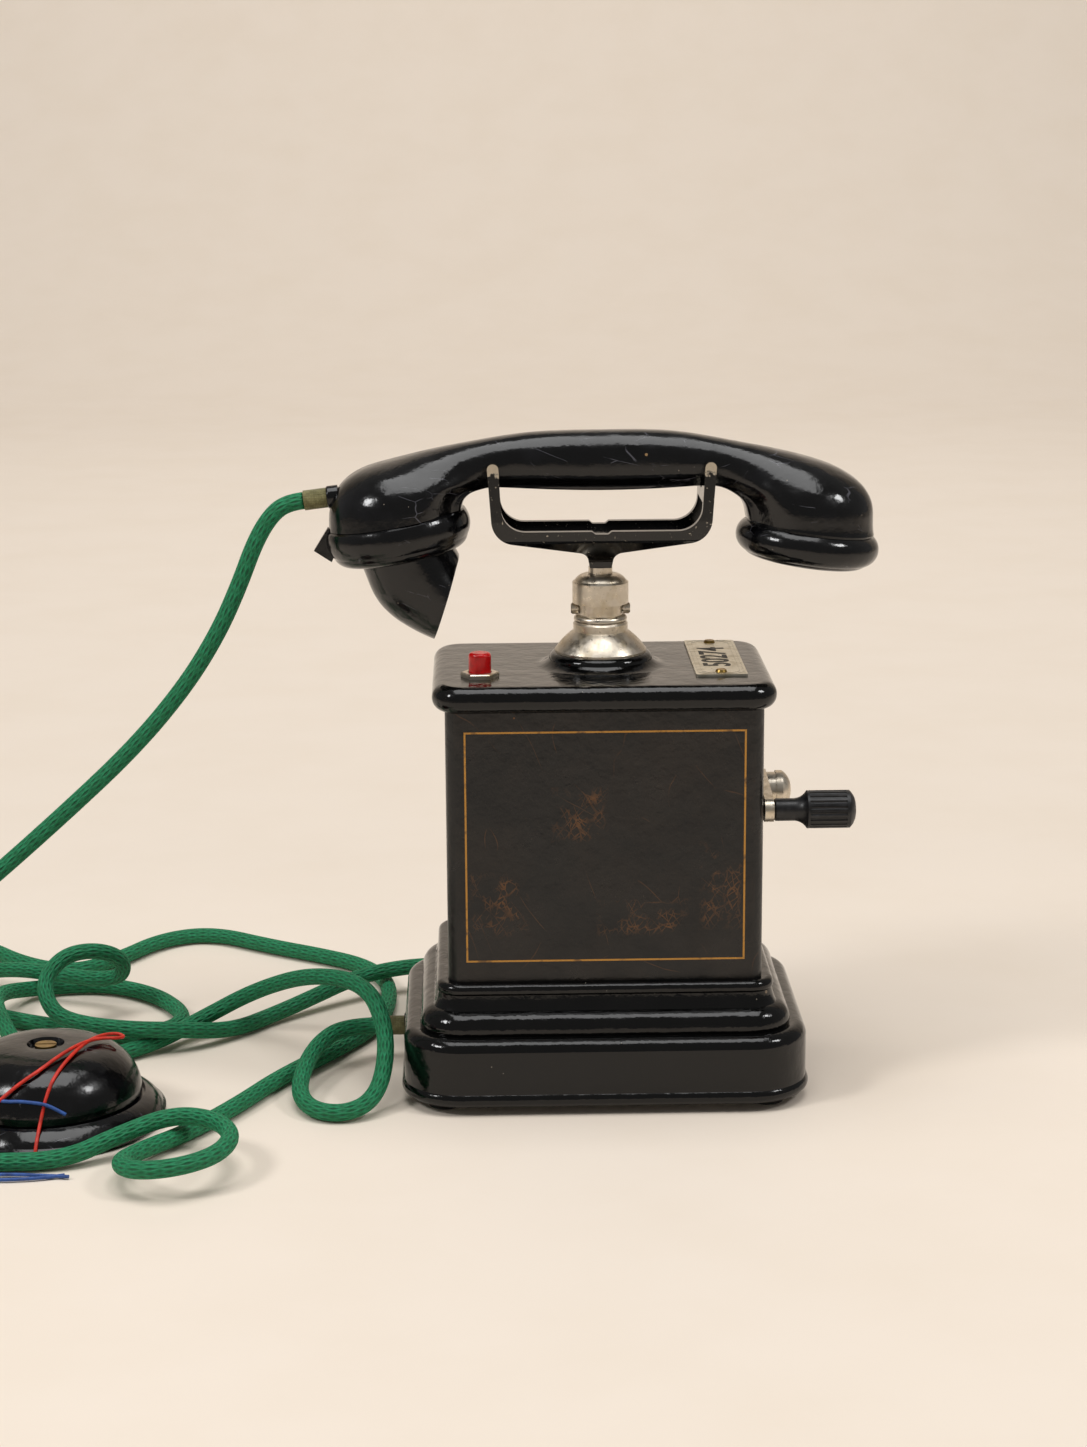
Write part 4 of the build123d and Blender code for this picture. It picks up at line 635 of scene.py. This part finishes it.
cordSize = {"radius": 3.75, "sides": 20}
handsetCordRoute = [
    (-128, 0, 257.25), (-135, 0, 256.39), (-142.2, 0, 251), (-149.3, 0, 239.5), (-156.7, 0, 220.5),
    (-166.5, 0, 199.5), (-181.5, 0, 176), (-205, 0, 148.5), (-239, 1, 117), (-276, 3, 84.5),
    (-322, 8, 46), (-375, 22, 16), (-420, 50, 3.8), (-425, 100, 3.8), (-380, 128, 3.8),
    (-332, 100, 3.8), (-281.5, 62, 3.8), (-246, 44, 3.8), (-212, 30, 3.8), (-190, 52, 3.8),
    (-208, 90, 3.8), (-238, 110, 3.8), (-272, 104, 3.8), (-285, 70, 12.8), (-276, 34, 12.8),
    (-262, 6, 4.8), (-236, -3, 3.8), (-206, 18, 3.8), (-184, 44, 8), (-158, 44, 22), (-130, 14, 39),
    (-105, -10, 42), (-95.8, -30, 29), (-96, -49, 14.5), (-101.5, -63, 6), (-113, -71, 3.8),
    (-126.5, -66, 3.8), (-133.5, -50, 5), (-133, -31, 8.8), (-127.5, -9, 13.5), (-116, 5, 17),
    (-98.7, 5, 17),
]
lineCordRoute = [
    (-54, 66.7, 15.5), (-54, 86, 15.5), (-70, 103, 13.5), (-94, 104, 12.1), (-116, 91, 11),
    (-135, 76, 6.5), (-152, 60, 3.8), (-170, 38, 3.8), (-192, 20, 10.8), (-216, 15.5, 13.1),
    (-240, 26, 12.8), (-253, 39, 14), (-258.5, 50, 24.5), (-250, 59, 34.5), (-235.5, 64, 36),
    (-223.5, 72, 29), (-225, 82, 16.5), (-240, 89.5, 12.6), (-262, 97, 14), (-282, 110, 12),
    (-300, 124, 6), (-326, 130, 3.8), (-354, 142, 3.8), (-358, 170, 3.8), (-334, 188, 3.8),
    (-306, 172, 3.8), (-282, 142, 3.8), (-256, 128, 3.8), (-236, 148, 3.8), (-218, 180, 3.8),
    (-192, 190, 3.8), (-160, 166, 3.8), (-134, 150, 3.8), (-113, 134, 3.8), (-100, 110, 3.8),
    (-97.5, 78, 3.8), (-102, 44, 3.8), (-120, 10, 3.8), (-143, -24, 3.8), (-160, -60, 3.8),
    (-178, -90, 3.8), (-194, -111, 5), (-202.5, -133, 8), (-192, -152, 12), (-174, -153, 14),
    (-160, -140, 14), (-155.5, -120, 14), (-164, -101.5, 14), (-183, -92.5, 13.2), (-204, -105, 9.4),
    (-226, -119.5, 3.8), (-258, -119, 3.8), (-300, -128, 3.8), (-336, -114, 3.8), (-342, -82, 3.8),
    (-318, -60.5, 6), (-290, -60.5, 6),
]
handsetLine = smoothLine("handset line", handsetCordRoute)
handsetCord = keepPiece(
    "handsetCord",
    tubeAlong(handsetLine, cordSize["radius"] * mm, cordSize["sides"]),
    braid,
    None,
)
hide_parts("handset_cord")
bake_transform(handsetCord)

lineLine = smoothLine("line line", lineCordRoute)
lineCord = keepPiece(
    "lineCord",
    tubeAlong(lineLine, cordSize["radius"] * mm, cordSize["sides"]),
    braid,
    "base",
)
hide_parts("line_cord")
print("cords", round(lengthOf(handsetLine), 3), round(lengthOf(lineLine), 3))

# bare lead wires of the wall lead, lying over the rosette and beside it
leadWires = {
    "radius": 0.8,
    "redLead": [
        (-238.4, -111.6, 1.4),
        (-238.2, -110.4, 5.4),
        (-237.6, -104.5, 10.6),
        (-236.8, -100.6, 15),
        (-235.2, -97.2, 22.4),
        (-232.6, -92.2, 29.2),
        (-228.2, -82, 33.8),
        (-222.6, -65, 35.6),
        (-217, -54, 35),
        (-211, -47.5, 33.4),
        (-207.5, -49.5, 32.4),
        (-210.5, -54.5, 33.6),
        (-217.5, -58.5, 35.2),
        (-224.2, -67.3, 36),
        (-231.3, -79, 35),
        (-238.3, -89.4, 32.2),
        (-244.2, -93.6, 29.4),
        (-250.4, -96.4, 25.2),
        (-254.2, -97.6, 22),
    ],
    "blueLead": [
        (-262, -92.6, 23.4),
        (-257.4, -95.6, 22.6),
        (-252, -98, 21.8),
        (-245.6, -99.4, 22.4),
        (-239.4, -99.8, 21.8),
        (-234.6, -99.6, 20.8),
        (-230.4, -99.6, 18.6),
        (-226.6, -99.8, 16.4),
    ],
    "blueTailA": [
        (-300, -133.5, 0.9),
        (-284, -131, 0.9),
        (-266, -126.5, 0.9),
        (-250, -125.2, 0.9),
        (-234, -127, 0.9),
        (-222, -129, 0.9),
    ],
    "blueTailB": [
        (-304, -136, 0.9),
        (-286, -134, 0.9),
        (-266, -130.5, 0.9),
        (-248, -131.6, 0.9),
        (-232, -130, 0.9),
        (-224, -127.2, 0.9),
    ],
}
leadFinishes = {"redLead": redWire, "blueLead": blueWire, "blueTailA": blueWire, "blueTailB": blueWire}
for name, finish in leadFinishes.items():
    line = smoothLine(name, leadWires[name])
    wire = keepPiece(name, tubeAlong(line, leadWires["radius"] * mm, 8), finish, "base")
print("lead wires done")

# etched lines and digits of the number plate; the digits read from the right
plateMarks = {
    "x": 50.8, "y": 6.8, "top": 185.2, "width": 22.2, "length": 73.8, "inset": [1.2, 2.9], "line": 0.65,
    "height": 0.08, "digits": "50274", "size": 16.5, "heavier": 0.3,
}


def etchedFrame(inset):  # a thin raised frame that follows the plate's edge
    bm = bmesh.new()
    corner = plateMarks["width"] / 2 - inset, plateMarks["length"] / 2 - inset
    cut = 3.4
    outline = [
        (corner[0] - cut, -corner[1]),
        (corner[0], cut - corner[1]),
        (corner[0], corner[1] - cut),
        (corner[0] - cut, corner[1]),
        (cut - corner[0], corner[1]),
        (-corner[0], corner[1] - cut),
        (-corner[0], cut - corner[1]),
        (cut - corner[0], -corner[1]),
    ]
    bm.faces.new([bm.verts.new((x * mm, y * mm, 0)) for x, y in outline])
    inner = bmesh.ops.inset_region(
        bm,
        faces=list(bm.faces),
        thickness=plateMarks["line"] * mm,
        use_boundary=True,
        use_even_offset=True,
    )
    border = set(inner["faces"])
    bmesh.ops.delete(bm, geom=[face for face in bm.faces if face not in border], context="FACES_ONLY")
    raised = bmesh.ops.extrude_face_region(bm, geom=list(bm.faces))["geom"]
    lift = [item for item in raised if isinstance(item, bmesh.types.BMVert)]
    bmesh.ops.translate(bm, vec=(0, 0, plateMarks["height"] * mm), verts=lift)
    bmesh.ops.translate(bm, vec=[plateMarks[axis] * mm for axis in ("x", "y", "top")], verts=bm.verts)
    bmesh.ops.recalc_face_normals(bm, faces=bm.faces)
    return bm


for number, inset in enumerate(plateMarks["inset"]):
    keepPiece(f"plateFrame{number}", etchedFrame(inset), plateInk, "base", smooth=False)

textData = bpy.data.curves.new("digits", "FONT")
textData.body = plateMarks["digits"]
textData.size = plateMarks["size"] * mm
textData.extrude = plateMarks["height"] * mm
textData.align_x = "CENTER"
textData.align_y = "CENTER"
textData.offset = plateMarks["heavier"] * mm
holder = bpy.data.objects.new("digits", textData)
digitsMesh = bpy.data.meshes.new_from_object(holder)
bpy.data.objects.remove(holder)
turnToSide = Matrix.Rotation(radians(90), 4, "Z")
digitsMesh.transform(Matrix.Translation([plateMarks[axis] * mm for axis in ("x", "y", "top")]) @ turnToSide)
digits = bpy.data.objects.new("plateDigits", digitsMesh)
bpy.context.scene.collection.objects.link(digits)
digitsMesh.materials.clear()
digitsMesh.materials.append(plateInk)
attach(digits, "base")
print("number plate done")

# paper sweep: a floor that curves up far behind the telephone
sweepSettings = {"colour": "#ecdfd0", "front": -3.0, "bend": 2.4, "radius": 1.6, "half": 5.0, "top": 4.5}
bm = bmesh.new()
ends = [bm.verts.new((-sweepSettings["half"], sweepSettings[key], -0.0004)) for key in ("front", "bend")]
lastEdge = bm.edges.new(ends)
spun = bmesh.ops.spin(
    bm,
    geom=[ends[1]],
    cent=(0, sweepSettings["bend"], sweepSettings["radius"]),
    axis=(1, 0, 0),
    angle=pi / 2,
    steps=16,
)["geom_last"]
topVerts = bmesh.ops.extrude_vert_indiv(
    bm,
    verts=[item for item in spun if isinstance(item, bmesh.types.BMVert)],
)["verts"]
bmesh.ops.translate(bm, vec=(0, 0, sweepSettings["top"] - sweepSettings["radius"]), verts=topVerts)
wide = bmesh.ops.extrude_edge_only(bm, edges=list(bm.edges))["geom"]
farSide = [item for item in wide if isinstance(item, bmesh.types.BMVert)]
bmesh.ops.translate(bm, vec=(2 * sweepSettings["half"], 0, 0), verts=farSide)
bmesh.ops.recalc_face_normals(bm, faces=bm.faces)
sweepPaper = newMaterial("warm backdrop paper", {"Base Color": sweepSettings["colour"], "Roughness": 0.9})
feed(
    sweepPaper,
    Base_Color=blendColors(
        sweepPaper,
        sweepSettings["colour"],
        (mottle(sweepPaper, 90, 0.4, 0.7, 0, 0.5), "#e8dac9"),
    ),
)
sweep = keepPiece("sweep", bm, sweepPaper, None)

cameraSettings = {
    "place": (-0.05246, -1.19862, 0.43725),
    "yaw": 1.3065,
    "pitch": 13.1376,
    "roll": -0.365,
    "lens": 69.66,
}
yaw, pitch, roll = (radians(cameraSettings[key]) for key in ("yaw", "pitch", "roll"))
forward = Vector((sin(yaw) * cos(pitch), cos(yaw) * cos(pitch), -sin(pitch)))
right = Vector((cos(yaw), -sin(yaw), 0))
up = right.cross(forward)
rolledRight = cos(roll) * right + sin(roll) * up
rolledUp = cos(roll) * up - sin(roll) * right
cameraData = bpy.data.cameras.new("camera")
cameraData.lens = cameraSettings["lens"]
cameraData.sensor_width = 36
cameraData.clip_start = 0.01
camera = bpy.data.objects.new("camera", cameraData)
bpy.context.scene.collection.objects.link(camera)
turn = Matrix((rolledRight, rolledUp, -forward)).transposed().to_4x4()
camera.matrix_world = Matrix.Translation(cameraSettings["place"]) @ turn
bpy.context.scene.camera = camera

lightSettings = {
    "left box": {"place": (-1.4, -0.75, 1.4), "size": 0.4, "power": 12, "aim": (0, 0, 0.15)},
    "right box": {"place": (1.4, -0.55, 1.5), "size": 0.4, "power": 10, "aim": (0, 0, 0.15)},
    "top box": {"place": (0.0, -0.2, 2.8), "size": 2.0, "power": 46, "aim": (0, -0.2, 0)},
    "wall box": {"place": (0.0, 1.2, 3.0), "size": 2.4, "power": 60, "aim": (0, 4, 2.2)},
}
for name, one in lightSettings.items():
    data = bpy.data.lights.new(name, "AREA")
    data.size = one["size"]
    data.energy = one["power"]
    data.color = linear("#ffffff")[:3]
    lamp = bpy.data.objects.new(name, data)
    bpy.context.scene.collection.objects.link(lamp)
    lamp.location = one["place"]
    lamp.rotation_euler = (Vector(one["aim"]) - lamp.location).to_track_quat("-Z", "Y").to_euler()

world = bpy.data.worlds.new("studio")
bpy.context.scene.world = world
world.use_nodes = True
world.node_tree.nodes["Background"].inputs["Color"].default_value = linear("#fffdfa")
world.node_tree.nodes["Background"].inputs["Strength"].default_value = 0.22
bpy.context.scene.view_settings.view_transform = "Standard"
print("stage set")
